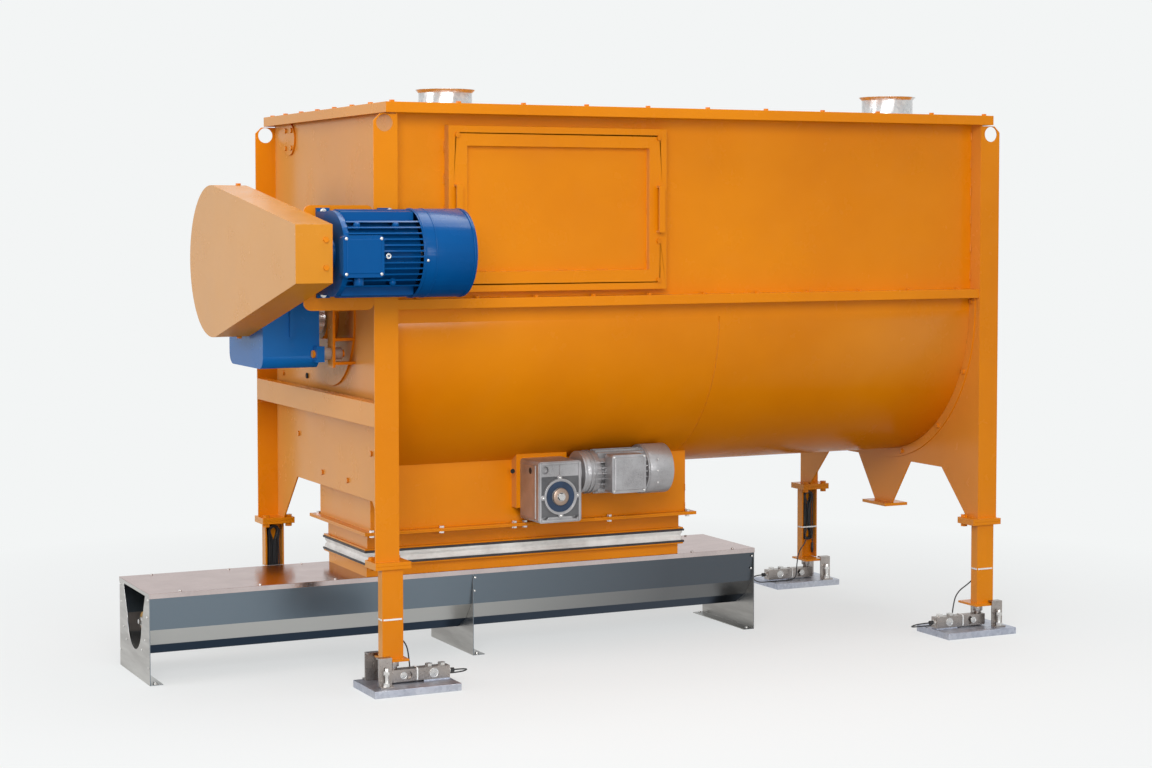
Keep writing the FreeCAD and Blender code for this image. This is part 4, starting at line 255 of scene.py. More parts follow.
def zinc(name, dark, light, low, high, spangle):
    """Galvanised sheet: zinc flowers, cloudy streaks and a few rubbed places."""
    p = Paint(name)
    flower = p.ramp(p.cells(spangle), (0.0, dark), (1.0, light))
    cloud = p.noise(4, 5, 0.6, (1.0, 1.0, 3.0))
    p.colour(p.mix(flower, (0.60, 0.58, 0.55), p.spread(cloud, 0.0, 0.35, 0.45, 0.75)))
    p.rough(p.spread(p.noise(16, 4, 0.6), low, high))
    p.set(Metallic=1.0)
    p.bumps((p.noise(2.6, 2, 0.5), 0.10, 0.02), (p.cells(spangle, "Distance"), 0.06, 0.0008))
    return p.material


def steel(name, dark, light, low, high, stretch=(1, 1, 1), metal=1.0, grain=220, edge=(1, 1, 1)):
    """Machined or cast metal with grain along one way."""
    p = Paint(name)
    scratch = p.noise(grain, 4, 0.6, stretch)
    cloud = p.noise(9, 4, 0.6)
    p.colour(p.mix(p.ramp(cloud, (0.3, dark), (0.7, light)), light, p.spread(scratch, 0.0, 0.5, 0.4, 0.7)))
    p.rough(p.spread(scratch, low, high))
    p.set(Metallic=metal, Specular_Tint=(*edge, 1))
    p.bumps((scratch, 0.12, 0.0004), (p.noise(30, 3, 0.5), 0.08, 0.001))
    return p.material


def plain(name, dark, light, low, high, grain=260, strength=0.15):
    """Rubber and plastic."""
    p = Paint(name)
    p.colour(p.ramp(p.noise(24, 4, 0.6), (0.3, dark), (0.7, light)))
    p.rough(p.spread(p.noise(60, 3, 0.5), low, high))
    p.bumps((p.noise(grain, 3, 0.5), strength, 0.0005))
    return p.material


def woven(name):
    """Coated white cuff cloth with a visible weave and grey mottling."""
    p = Paint(name)
    weave = []
    for direction in "XZ":
        wave = p.add("ShaderNodeTexWave", bands_direction=direction)
        wave.inputs["Scale"].default_value = 420
        wave.inputs["Distortion"].default_value = 0.6
        p.link(p.coords, wave.inputs["Vector"])
        weave.append((wave.outputs["Fac"], 0.2, 0.0004))
    p.colour(p.ramp(p.noise(14, 5, 0.6), (0.3, (0.60, 0.58, 0.55)), (0.62, (0.80, 0.79, 0.76))))
    p.rough(p.spread(p.noise(80, 2, 0.5), 0.55, 0.75))
    p.set(Sheen_Weight=0.25)
    p.bumps(*weave, (p.noise(30, 4, 0.6), 0.3, 0.002))
    return p.material


# The last colour given to each enamel is the colour of its painted sheen
SHEEN_TAN = (0.74, 0.45, 0.16)
ORANGE = enamel("orange_enamel", (0.66, 0.196, 0.002), (0.74, 0.236, 0.003), (0.74, 0.34, 0.08), SHEEN_TAN)
ORANGE_CAST = enamel("orange_enamel_small", (0.62, 0.172, 0.002), (0.72, 0.222, 0.003), (0.72, 0.32, 0.07), SHEEN_TAN,
                     waves=0.02)
GUARD = enamel("orange_enamel_guard", (0.56, 0.215, 0.014), (0.63, 0.245, 0.018), (0.70, 0.36, 0.12),
               (0.76, 0.46, 0.21))
BLUE = enamel("blue_enamel", (0.001, 0.052, 0.195), (0.002, 0.078, 0.26), (0.03, 0.12, 0.30), (0.05, 0.15, 0.34),
              waves=0.02, gloss=0.11, share=0.2, crown=0.9)
BLUE_CASE = enamel("blue_enamel_case", (0.004, 0.105, 0.36), (0.008, 0.145, 0.46), (0.06, 0.20, 0.46),
                   (0.05, 0.17, 0.42), waves=0.01, gloss=0.20, share=0.2)
ZINC = sheet_zinc("zinc_sheet")
LID = steel("zinc_lid", (0.47, 0.40, 0.39), (0.59, 0.51, 0.495), 0.10, 0.20, stretch=(14, 1, 1), grain=40,
            edge=(0.84, 0.77, 0.76))
ZINC_PAD = zinc("zinc_plate", (0.36, 0.385, 0.46), (0.50, 0.525, 0.60), 0.34, 0.55, 90)
ZINC_BRIGHT = zinc("zinc_spigot", (0.50, 0.51, 0.53), (0.72, 0.72, 0.72), 0.20, 0.36, 80)
STAINLESS = steel("stainless", (0.24, 0.215, 0.20), (0.44, 0.40, 0.375), 0.24, 0.42, stretch=(1, 6, 1))
BRIGHT = steel("bright_bolts", (0.50, 0.49, 0.48), (0.74, 0.73, 0.71), 0.20, 0.40)
TURNED = steel("turned_steel", (0.40, 0.39, 0.38), (0.62, 0.61, 0.60), 0.22, 0.40, stretch=(10, 1, 1))
WORN = steel("worn_steel", (0.34, 0.32, 0.30), (0.60, 0.58, 0.55), 0.25, 0.48, stretch=(1, 1, 4))
IRON = steel("cast_iron", (0.06, 0.06, 0.065), (0.14, 0.14, 0.145), 0.45, 0.65, metal=0.6, grain=160)
SILVER = steel("cast_silver", (0.25, 0.242, 0.245), (0.45, 0.445, 0.455), 0.26, 0.46, metal=0.55, grain=260)
BUFFER = plain("grey_rubber", (0.26, 0.20, 0.165), (0.36, 0.29, 0.245), 0.45, 0.6)
BRONZE = steel("yellow_bronze", (0.42, 0.22, 0.03), (0.62, 0.36, 0.06), 0.28, 0.42, metal=0.9, grain=120)
BROWN = steel("bronze_cap", (0.24, 0.17, 0.13), (0.40, 0.30, 0.24), 0.28, 0.42, metal=0.8, grain=120)
RUBBER = plain("black_rubber", (0.010, 0.010, 0.011), (0.028, 0.028, 0.030), 0.45, 0.65)
SHEATH = plain("cable_sheath", (0.012, 0.012, 0.013), (0.022, 0.022, 0.024), 0.35, 0.5, grain=500, strength=0.08)
STRIP = plain("clamp_strip", (0.012, 0.010, 0.012), (0.030, 0.026, 0.032), 0.28, 0.45)
TIE = plain("white_tie", (0.72, 0.72, 0.70), (0.84, 0.84, 0.82), 0.35, 0.5, grain=200, strength=0.05)
NAVY = plain("navy_cover", (0.006, 0.020, 0.050), (0.014, 0.038, 0.090), 0.3, 0.45)
# Painted shade for the insides of open holes
HOLE_SHADE = plain("painted_hole_shade", (0.004, 0.004, 0.004), (0.010, 0.009, 0.008), 0.7, 0.9)
CLOTH = woven("cuff_cloth_weave")

LOOKS = {
    ORANGE: ["end_wall_left", "end_wall_right", "trough_shell", "front_wall", "back_wall", "top_cover",
             "hatch_collar", "hatch_panel", "front_leg_extensions", "rear_leg_extensions", "guard_back_plate",
             "outlet_box", "outlet_skirt", "inlet_frame"],
    ORANGE_CAST: ["blind_cover", "torque_stay", "shaft_bearings", "panel_bolts", "hatch_bolts", "motor_plate"],
    GUARD: ["belt_guard"],
    BLUE: ["motor_housing", "motor_cowl", "motor_terminal_box"],
    BLUE_CASE: ["gearbox_housing"],
    BUFFER: ["torque_buffers"],
    ZINC: ["conveyor_trough", "conveyor_supports"],
    LID: ["conveyor_lid"],
    ZINC_PAD: ["base_pads"],
    ZINC_BRIGHT: ["inlet_spigots"],
    STAINLESS: ["load_cells", "load_buttons", "anti_lift_brackets"],
    BRIGHT: ["zinc_bolts"],
    RUBBER: ["v_belts", "cable_glands"],
    STRIP: ["cuff_clamps"],
    SILVER: ["gate_gearbox", "gate_motor"],
    TURNED: ["motor_shaft", "gearbox_input_shaft", "main_shaft", "gate_pinion_shaft", "slide_gate"],
    IRON: ["motor_pulley", "gearbox_pulley"],
    WORN: ["ribbon_spokes", "outer_ribbon", "inner_ribbon", "auger"],
}

# Metres: width of the rounded arrises
USUAL_ARRIS = 0.0012
ARRISES = {"zinc_bolts": 0.0006, "panel_bolts": 0.0006, "hatch_bolts": 0.0006, "gate_pinion_shaft": 0.0006,
           "slide_gate": 0.0005, "v_belts": 0.0006, "conveyor_trough": 0.0006, "conveyor_lid": 0.0008,
           "guard_back_plate": 0.0005, "motor_plate": 0.0015, "base_pads": 0.002, "gearbox_housing": 0.002}


def round_arrises(item, width):
    bevel = item.modifiers.new("arris", "BEVEL")
    bevel.width = width
    bevel.segments = 2
    bevel.limit_method = "ANGLE"
    bevel.harden_normals = True
    return bevel


def finish_node(name, material):
    """A material, and rounded arrises, on a node of the frame."""
    item = NODES[name]
    item.data.materials.clear()
    item.data.materials.append(material)
    weld = item.modifiers.new("weld", "WELD")
    weld.merge_threshold = 0.00001
    bevel = round_arrises(item, ARRISES.get(name, USUAL_ARRIS))
    bevel.angle_limit = math.radians(38)
    bevel.use_clamp_overlap = True


for look, names in LOOKS.items():
    for node_name in names:
        finish_node(node_name, look)


# ---------------------------------------------------------------- pieces


def add_mesh(name, bm, material, body=ROOT, smooth=True):
    """An object of its own, riding on a body of the frame."""
    mesh = bpy.data.meshes.new(name)
    bm.to_mesh(mesh)
    bm.free()
    mesh.materials.append(material)
    for face in mesh.polygons:
        face.use_smooth = smooth
    item = bpy.data.objects.new(name, mesh)
    bpy.context.scene.collection.objects.link(item)
    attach(item, body)
    return item


def skin(bm, rows, joined=False):
    """Faces between rings of points; joined ties the last ring to the first."""
    count = len(rows[0])
    for near, far in zip(rows, rows[1:] + (rows[:1] if joined else [])):
        for k in range(count):
            m = (k + 1) % count
            bm.faces.new((near[k], near[m], far[m], far[k]))


def swept(bm, path, section, joined=False):
    """A section of (across, up) points carried along a path of (place, across, up) frames."""
    rows = []
    for place, across, up in path:
        rows.append([bm.verts.new(place + across * a + up * b) for a, b in section])
    skin(bm, rows, joined)
    if not joined:
        bm.faces.new(rows[0][::-1])
        bm.faces.new(rows[-1])


def square_to(way):
    """The way at unit length, and two ways at right angles to it."""
    way = Vector(way).normalized()
    side = way.orthogonal().normalized()
    return way, side, way.cross(side)


class Pile:
    """Small pieces of one material gathered in one object; sizes are in metres."""

    def __init__(self, name, material):
        self.name, self.material, self.bm = name, material, bmesh.new()

    def turned(self, place, way, profile, count=20):
        """A turned piece: the profile is (distance along the way, radius)."""
        way, side, up = square_to(way)
        rows = []
        for reach, radius in profile:
            centre = Vector(place) + way * reach
            angles = (2 * math.pi * k / count for k in range(count))
            rows.append([self.bm.verts.new(centre + (side * math.cos(a) + up * math.sin(a)) * radius)
                         for a in angles])
        skin(self.bm, rows)
        self.bm.faces.new(rows[0][::-1])
        self.bm.faces.new(rows[-1])

    def ring(self, place, way, inner, outer, height, lip=0.0006, count=40):
        """A flat washer with softened edges."""
        way, side, up = square_to(way)
        outline = [(inner, 0), (inner, height - lip), (inner + lip, height), (outer - lip, height),
                   (outer, height - lip), (outer, 0)]
        rows = []
        for k in range(count):
            a = 2 * math.pi * k / count
            out = side * math.cos(a) + up * math.sin(a)
            rows.append([self.bm.verts.new(Vector(place) + out * r + way * h) for r, h in outline])
        skin(self.bm, rows, joined=True)

    def pan(self, place, way, radius):
        """A low round screw head."""
        self.turned(place, way, [(0, radius), (radius * 0.35, radius), (radius * 0.65, radius * 0.8),
                                 (radius * 0.78, radius * 0.35)], 16)

    def hexagon(self, place, way, radius, height, washer=1.25):
        """A six-sided head on its washer."""
        seat = height * 0.2
        self.turned(place, way, [(0, radius * washer), (height * 0.18, radius * washer),
                                 (seat, radius * washer * 0.97)], 24)
        self.turned(Vector(place) + Vector(way).normalized() * seat, way,
                    [(0, radius), (height * 0.7, radius), (height * 0.8, radius * 0.86)], 6)

    def bead(self, start, end, radius):
        """A short weld bead with its ripples."""
        start, end = Vector(start), Vector(end)
        length = (end - start).length
        pitch, ripple, tip = 0.004, 0.13, radius * 0.3
        count = max(4, int(length / pitch))
        profile = [(0, tip)]
        for k in range(1, count):
            profile.append((length * k / count, radius * (1.0 + ripple * (-1) ** k)))
        profile.append((length, tip))
        self.turned(start, end - start, profile, 8)

    def band(self, centre, half, axis, height, thick=0.0011, count=48):
        """A thin tie drawn round a box-like section; the axis is the way it faces."""
        path = []
        way = Vector([float(k == axis) for k in range(3)])
        first, second = [Vector([float(k == m) for k in range(3)]) for m in range(3) if m != axis]
        boxy = 0.3
        for k in range(count):
            a = 2 * math.pi * k / count
            across = math.copysign(abs(math.cos(a)) ** boxy, math.cos(a)) * half[0]
            along = math.copysign(abs(math.sin(a)) ** boxy, math.sin(a)) * half[1]
            out = first * across + second * along
            path.append((Vector(centre) + out, out.normalized(), way))
        swept(self.bm, path, [(0, -height), (thick, -height), (thick, height), (0, height)], joined=True)

    def recess(self, centre, radius, half, height=0.0008, count=48):
        """A thin square skin round a disc, on a face that looks along -Y, that paints the shade of a recess."""
        rows = []
        for k in range(count):
            a = 2 * math.pi * k / count
            out = Vector((math.cos(a), 0, math.sin(a)))
            square = half / max(abs(out.x), abs(out.z))
            rows.append([self.bm.verts.new(Vector(centre) + out * r + Vector((0, -h, 0)))
                         for r, h in ((radius, 0), (radius, height), (square, height), (square, 0))])
        skin(self.bm, rows, joined=True)

    def pillow(self, low, high, way, lift, inset):
        """A raised plate with sloped edges on a face that looks along -X or -Y."""
        axis = 0 if abs(way[0]) > 0.5 else 1
        first, second = [k for k in range(3) if k != axis]
        rows = []
        for reach, shrink in ((0, 0), (lift * 0.7, inset * 0.25), (lift, inset)):
            corners = []
            for s, t in ((0, 0), (1, 0), (1, 1), (0, 1)):
                point = [0.0, 0.0, 0.0]
                point[axis] = low[axis] + way[axis] * reach
                point[first] = (high if s else low)[first] + (-shrink if s else shrink)
                point[second] = (high if t else low)[second] + (-shrink if t else shrink)
                corners.append(self.bm.verts.new(point))
            rows.append(corners)
        skin(self.bm, rows)
        self.bm.faces.new(rows[-1])
        self.bm.faces.new(rows[0][::-1])

    def done(self, slot, body=ROOT, smooth=False):
        """The finished object; what isn't shaded smooth gets fine arrises."""
        bmesh.ops.recalc_face_normals(self.bm, faces=self.bm.faces)
        item = add_mesh(self.name, self.bm, self.material, body, smooth)
        if not smooth:
            round_arrises(item, 0.0004)
        return item


# ---------------------------------------------------------------- cell cables

# Metres: each cable leaves its gland, lies along the pad and ends in a tied hank in the leg
ROUTE = [
    (-0.68150, -0.51675, 0.0510), (-0.62350, -0.51675, 0.0510), (-0.62350, -0.46425, 0.0290),
    (-0.68983, -0.46275, 0.0285), (-0.75617, -0.46525, 0.0280), (-0.82250, -0.46425, 0.0280),
    (-0.82650, -0.46525, 0.0880), (-0.83850, -0.47075, 0.1500), (-0.89250, -0.48975, 0.1900),
    (-0.89700, -0.51725, 0.2220), (-0.89700, -0.51725, 0.2600),
]
HANK_X, HANK_Y, HANK_Z = -0.9185, -0.52775, 0.300
CORD_DIAMETER = 0.005

# Metres: the connector's (distance down from the cable's end, radius)
CONNECTOR = [(0.0, 0.0035), (0.003, 0.0055), (0.010, 0.0060), (0.012, 0.0050), (0.014, 0.0060), (0.032, 0.0060),
             (0.034, 0.0045), (0.044, 0.0045), (0.045, 0.0030)]
CONNECTOR_SIDES = 16


def hank_turns():
    """Control points of the tied hank: round ends, and strands drawn together between them."""
    wide, narrow, step, half = 0.0215, 0.0162, 0.0070, 0.086
    eases = (0.006, 0.022, 0.040)
    # A control point stands outside the arc that the spline draws
    outside = math.cos(math.pi / 8)
    depths = [1.5 * step - step * k for k in range(4)]
    pinch = {wide: (0.0189, 0.0135), narrow: (0.0027, 0.0081)}
    turns = [(wide, depths[k], pinch[wide][k % 2]) for k in range(4)]
    turns += [(narrow, depths[3 - k], pinch[narrow][(3 - k) % 2]) for k in range(4)]
    points = []
    for index, (radius, depth, middle) in enumerate(turns):
        reach = radius / outside
        side = list(zip((radius, (radius + middle) / 2, middle), eases))
        if index:
            points += [(across, depth, -half + up) for across, up in side]
        points += [(across, depth, half - up) for across, up in side[::-1]]
        for turn in (22.5, 67.5, 112.5, 157.5):
            a = math.radians(turn)
            points.append((reach * math.cos(a), depth, half + reach * math.sin(a)))
        points += [(-across, depth, half - up) for across, up in side]
        points += [(-across, depth, -half + up) for across, up in side[::-1]]
        if index + 1 == len(turns):
            break
        next_radius, next_depth, _ = turns[index + 1]
        for k, turn in enumerate((202.5, 247.5, 292.5, 337.5), 1):
            a, share = math.radians(turn), k / 5
            r = (radius + (next_radius - radius) * share) / outside
            points.append((r * math.cos(a), depth + (next_depth - depth) * share, -half + r * math.sin(a)))
    # The free end hangs out below the last turn
    points += [(-narrow, 0.0135, -half - 0.004), (-narrow - 0.001, 0.0160, -half - 0.022),
               (-narrow, 0.0162, -half - 0.036)]
    return [(HANK_X + u, HANK_Y + v, HANK_Z + w) for u, v, w in points]


def cornered(point, along, across):
    """A place at the front left foot, mirrored to another foot."""
    x, y, z = point
    return Vector((x if along == "left" else 2 * MIDDLE_X - x, y if across == "front" else 2 * MIDDLE_Y - y, z))


def connector(tag, end):
    """The free end's round connector, hanging below the hank."""
    bm = bmesh.new()
    rows = []
    for drop, radius in CONNECTOR:
        angles = (2 * math.pi * k / CONNECTOR_SIDES for k in range(CONNECTOR_SIDES))
        rows.append([bm.verts.new(end + Vector((radius * math.cos(a), radius * math.sin(a), 0.001 - drop)))
                     for a in angles])
    skin(bm, rows)
    bm.faces.new(rows[0])
    bm.faces.new(rows[-1][::-1])
    bmesh.ops.recalc_face_normals(bm, faces=bm.faces)
    return add_mesh("connector_" + tag, bm, RUBBER)


def cell_cable(along, across):
    tag = f"{across}_{along}"
    points = [cornered(p, along, across) for p in ROUTE + hank_turns()]
    curve = bpy.data.curves.new("cable_" + tag, "CURVE")
    curve.dimensions = "3D"
    curve.bevel_depth = CORD_DIAMETER / 2
    curve.bevel_resolution = 3
    curve.resolution_u = 6
    spline = curve.splines.new("NURBS")
    spline.points.add(len(points) - 1)
    for item, place in zip(spline.points, points):
        item.co = (*place, 1)
    spline.order_u = 3
    spline.use_endpoint_u = True
    curve.materials.append(SHEATH)
    cable = bpy.data.objects.new("cable_" + tag, curve)
    bpy.context.scene.collection.objects.link(cable)
    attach(cable, ROOT)
    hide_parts("cell_cable_" + tag, "cable_hank_" + tag)
    plug = connector(tag, points[-1])

    # White ties: one binds hank and leg channel, one binds the cable to the cell
    ties = Pile("cable_ties_" + tag, TIE)
    ties.band(cornered((HANK_X, -0.52825, 0.250), along, across), half=(0.0388, 0.0212), axis=2, height=0.0030)
    ties.band(cornered((-0.8245, -0.51675, 0.0520), along, across), half=(0.0200, 0.0222), axis=0, height=0.0028)
    tie = ties.done(slot="cloth")


for across_name in ("front", "rear"):
    for along_name in ("left", "right"):
        cell_cable(along_name, across_name)


# ---------------------------------------------------------------- cuff


def rounded_loop(x0, x1, y0, y1, radius, step):
    """Places round a rectangle with rounded corners, with the outward way at each."""
    corners = [(x1 - radius, y1 - radius, 0), (x0 + radius, y1 - radius, 90),
               (x0 + radius, y0 + radius, 180), (x1 - radius, y0 + radius, 270)]
    places = []
    for index, (cx, cy, start) in enumerate(corners):
        for k in range(7):
            a = math.radians(start + 15 * k)
            places.append((Vector((cx + radius * math.cos(a), cy + radius * math.sin(a), 0)),
                           Vector((math.cos(a), math.sin(a), 0))))
        nx, ny, _ = corners[(index + 1) % 4]
        a = math.radians(start + 90)
        here = places[-1][0]
        there = Vector((nx + radius * math.cos(a), ny + radius * math.sin(a), 0))
        count = int((there - here).length / step)
        for k in range(1, count):
            places.append((here.lerp(there, k / count), Vector((math.cos(a), math.sin(a), 0))))
    return places


def cuff_push(length, share):
    """How far the cloth stands out, at a length round the cuff and a share of its height."""
    hold = math.sin(math.pi * share)
    crease = noise.noise(Vector((length * 5.0, share * 2.2, 3.1)))
    fine = noise.noise(Vector((length * 26.0, share * 5.0, 9.7)))
    fold = math.sin(share * 2 * math.pi * 1.5 + 2.2 * noise.noise(Vector((length * 1.7, 0, 1.3))))
    return hold * (-0.0035 + 0.0030 * crease + 0.0012 * fine + 0.0022 * fold)


def cuff():
    """The cloth between the clamp strips: slack, with long creases and a bulge."""
    corner, step, levels, slack = 0.012, 0.006, 14, 1.08
    low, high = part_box("flexible_cuff")
    loop = rounded_loop(low.x, high.x, low.y, high.y, corner, step)
    bm = bmesh.new()
    rows = []
    length = 0.0
    for index, (place, out) in enumerate(loop):
        length += (place - loop[index - 1][0]).length if index else 0
        column = []
        for k in range(levels + 1):
            share = k / levels
            height = low.z + (high.z - low.z) * share
            column.append(bm.verts.new(Vector((place.x, place.y, height)) + out * cuff_push(length, share)))
        rows.append(column)
    for near, far in zip(rows, rows[1:] + rows[:1]):
        for k in range(levels):
            bm.faces.new((near[k], far[k], far[k + 1], near[k + 1]))
    bmesh.ops.recalc_face_normals(bm, faces=bm.faces)
    item = add_mesh("cuff_sleeve", bm, CLOTH)
    thick = item.modifiers.new("thickness", "SOLIDIFY")
    thick.thickness = 0.0015
    thick.offset = -1
    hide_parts("flexible_cuff")


cuff()

# ---------------------------------------------------------------- small trim


def motor_trim():
    """Screws of the box lid, the earth ring, casting lugs and the cowl's beads."""
    axis_y, axis_z = -143, 1500
    left, right, low, high, face = -252, -132, 1437, 1549, -300
    lid = Pile("motor_box_lid", BLUE)
    lid.pillow(at(left, face, low), at(right, face, high), FRONT, 0.003, 0.004)
    for x, y, z in ((-197, -252, 1597), (-63, -252, 1597), (-74, -252, 1403), (-197, -252, 1403)):
        seat = at(x, y + 12, z - math.copysign(10, z - axis_z))
        lid.turned(seat, (0, y - axis_y, z - axis_z), [(0, 0.012), (0.012, 0.011), (0.018, 0.008), (0.020, 0.004)])
    lid.done(slot="blue_paint")
    beads = Pile("cowl_beads", BLUE)
    for x, lift in ((24, 0.0018), (64, 0.0012), (198, 0.0014)):
        beads.ring(at(x, axis_y, axis_z), RIGHT, 0.1465, 0.1472 + lift, 0.006, 0.0004, 64)
    beads.done(slot="blue_paint", smooth=True)
    bright = Pile("motor_screws", BRIGHT)
    for x in (left, right):
        for z in (low - 1, high + 1):
            bright.pan(at(x, face - 1, z), FRONT, 0.0055)
    # The earth screw's ring and a screw of the cowl
    bright.ring(at(-104, -287, 1493), FRONT, 0.0035, 0.009, 0.006)
    bright.pan(at(34, -289, 1478), (0, -1, -0.14), 0.0050)
    for x in (-224, 12):
        for z in (1362, 1638):
            bright.hexagon(at(x, 1, z), FRONT, 0.009, 0.009)
    bright.done(slot="galvanised")


def gear_motor_trim():
    """The ring, cap and bolts of the output side, the case's rim, and lid and screws of the motor's box."""
    face = 200
    axis = at(741, face, 608)

    def round_axis(quarter, depth):
        a = math.pi / 2 * quarter + 0.03
        return axis + Vector((0.069 * math.cos(a), depth, 0.069 * math.sin(a)))

    rim = Pile("gear_rim", SILVER)
    rim.ring(axis + Vector((0, -0.003, 0)), FRONT, 0.0585, 0.0655, 0.005)
    for k in range(4):
        rim.turned(round_axis(k, 0.001), FRONT, [(0, 0.010), (0.006, 0.0095), (0.007, 0.008)])
    left, right, low, high, strip = 658, 824, 517, 733, 9
    strips = ((left, low, left + strip, high), (right - strip, low, right, high),
              (left + strip, high - strip, right - strip, high), (left + strip, low, right - strip, low + strip),
              (738, 676, 744, high - strip))
    for x0, z0, x1, z1 in strips:
        rim.pillow(at(x0, face, z0), at(x1, face, z1), FRONT, 0.004, 0.0015)
    box_left, box_right, box_low, box_high, box_face = 938, 1057, 623, 743, 150
    rim.pillow(at(box_left, box_face, box_low), at(box_right, box_face, box_high), FRONT, 0.003, 0.004)
    motor_y, motor_z = 278.5, 683
    for x in (872, 888):
        rim.ring(at(x, motor_y, motor_z), RIGHT, 0.0760, 0.0800, 0.006, 0.001, 48)
    rim.done(slot="cast_silver")
    side = Pile("gear_side_plate", SILVER)
    side.pillow(at(655, 222, 528), at(655, 338, 722), LEFT, 0.003, 0.003)
    side.done(slot="cast_silver")
    seal = Pile("gear_seal", NAVY)
    seal.ring(axis + Vector((0, 0.0005, 0)), FRONT, 0.0325, 0.0585, 0.003)
    seal.done(slot="black_rubber")
    # Painted shade: a thin dark skin round the seal stands for the shaded recess in the case's face
    shaded_recess = Pile("gear_recess_shade", IRON)
    shaded_recess.recess(axis, 0.0665, 0.0735)
    shaded_recess.done(slot="cast_silver")
    # Painted shade: near-black discs stand for the dark insides of open holes in the gear case, in its bracket and
    # in the left end wall
    dark = Pile("painted_hole_shadows", HOLE_SHADE)
    dark.turned(at(651.5, 262, 700), LEFT, [(0, 0.012), (0.0004, 0.0118)])
    dark.turned(at(624, 356.5, 690), FRONT, [(0, 0.009), (0.0006, 0.0088)])
    dark.turned(at(39, 946, 1021), LEFT, [(0, 0.011), (0.004, 0.010)])
    dark.done(slot="black_rubber")
    cap = Pile("gear_cap", BROWN)
    cap.turned(axis + Vector((0, -0.008, 0)), FRONT,
               [(0, 0.0318), (0.003, 0.0310), (0.0045, 0.027), (0.006, 0.0145)], 40)
    cap.done(body=GATE_PINIONS, slot="machined_steel", smooth=True)
    bright = Pile("gear_screws", BRIGHT)
    for k in range(4):
        bright.pan(round_axis(k, -0.006), FRONT, 0.0048)
    for z in (box_low - 2, box_high + 2):
        for x in (box_left - 2, box_right + 2):
            bright.pan(at(x, box_face - 0.5, z), FRONT, 0.0045)
    for z in (motor_z - 43, motor_z, motor_z + 43):
        bright.pan(at(1136, 187.5, z), FRONT, 0.0035)
    bright.done(slot="galvanised")


def cell_trim():
    """Sealed pockets on both sides of the weighing cells, and the glands' collars."""
    near, far, middle_z = 18, 56, 51
    for across in ("front", "rear"):
        plugs = Pile("cell_plugs_" + across, BRIGHT)
        for along in ("left", "right"):
            for x, r in ((174, 0.0165), (62, 0.0125)):
                profile = [(0, r), (0.0008, r), (0.0011, r * 0.93), (0.0006, r * 0.88), (0.0008, r * 0.1)]
                for face, way in ((near, -1), (far, 1)):
                    place = cornered(at(x, face, middle_z), along, across)
                    sign = way if across == "front" else -way
                    plugs.turned(place + Vector((0, -sign * 0.0004, 0)), (0, sign, 0), profile, 32)
            collar = cornered(at(233, (near + far) / 2, middle_z), along, across)
            plugs.hexagon(collar, RIGHT if along == "left" else LEFT, 0.0105, 0.007, 1.05)
        plugs.done(slot="stainless")


def welds():
    """Stitch welds along the front wall, the hatch tray and the outlet, and the trough's own seam."""
    seams = Pile("stitch_welds", ORANGE_CAST)
    wall_y = 75.5
    for x in (50, 2450):
        for k in range(6):
            z = 1370 + 108 * k
            seams.bead(at(x, wall_y, z), at(x, wall_y, z + 42), 0.0030)
    for k in range(5):
        z = 1400 + 110 * k
        seams.bead(at(240.5, wall_y, z), at(240.5, wall_y, z + 40), 0.0028)
    for x in (88, 1363):
        for z in (500, 570):
            seams.bead(at(x, 397, z), at(x, 397, z + 30), 0.0026)
    seams.done(slot="orange_paint", smooth=True)

    tray = Pile("tray_welds", ORANGE_CAST)
    tray_y = 60
    for x in (345, 505, 660, 820, 960):
        tray.bead(at(x, tray_y, 1431), at(x + 46, tray_y, 1431), 0.0028)
    for z in (1455, 1630, 1790):
        for x in (1020, 314):
            tray.bead(at(x, tray_y, z), at(x, tray_y, z + 44), 0.0028)
    tray.done(body=HATCH, slot="orange_paint", smooth=True)

    joint = Pile("trough_joint", ORANGE_CAST)
    radius, half, flat, lift = 0.5918, 0.004, 0.002, 0.0009
    path = []
    for k in range(49):
        a = math.radians(180 + 3.75 * k)
        out = Vector((0, math.cos(a), math.sin(a)))
        path.append((at(1330, AXIS_ACROSS, AXIS_HEIGHT) + out * radius, Vector((1, 0, 0)), out))
    swept(joint.bm, path, [(-half, 0), (-flat, lift), (flat, lift), (half, 0)])
    joint.done(slot="orange_paint", smooth=True)


def trough_rims():
    """The trough's bolting flanges against both end walls, with their heads and nuts."""
    inner, outer, sheet, circle, rise = 0.5923, 0.628, 0.006, 0.610, 0.058
    width = outer - inner
    rims, nuts = Pile("trough_flanges", ORANGE), Pile("trough_flange_bolts", ORANGE_CAST)
    for along, way in ((47, 1), (2453, -1)):
        centre = at(along, AXIS_ACROSS, AXIS_HEIGHT)
        inward = Vector((way, 0, 0))
        path = [(centre + Vector((0, -inner, rise)), Vector((0, -1, 0)), inward)]
        for k in range(73):
            a = math.radians(180 + 2.5 * k)
            out = Vector((0, math.cos(a), math.sin(a)))
            path.append((centre + out * inner, out, inward))
        path.append((centre + Vector((0, inner, rise)), Vector((0, 1, 0)), inward))
        swept(rims.bm, path, [(0, 0), (width, 0), (width, sheet), (0, sheet)])
        for index in range(8):
            turn = math.radians((index - 3.5) * 80 / 3)
            seat = centre + Vector((0, circle * math.sin(turn), -circle * math.cos(turn)))
            nuts.hexagon(seat + inward * sheet, inward, 0.0098, 0.008)
            # Behind the left wall's drive the middle bolts have no outer head
            if way < 0 or index in (0, 1, 6, 7):
                nuts.hexagon(seat - inward * 0.006, -inward, 0.0098, 0.007)
    rims.done(slot="orange_paint")
    nuts.done(slot="orange_bolts")


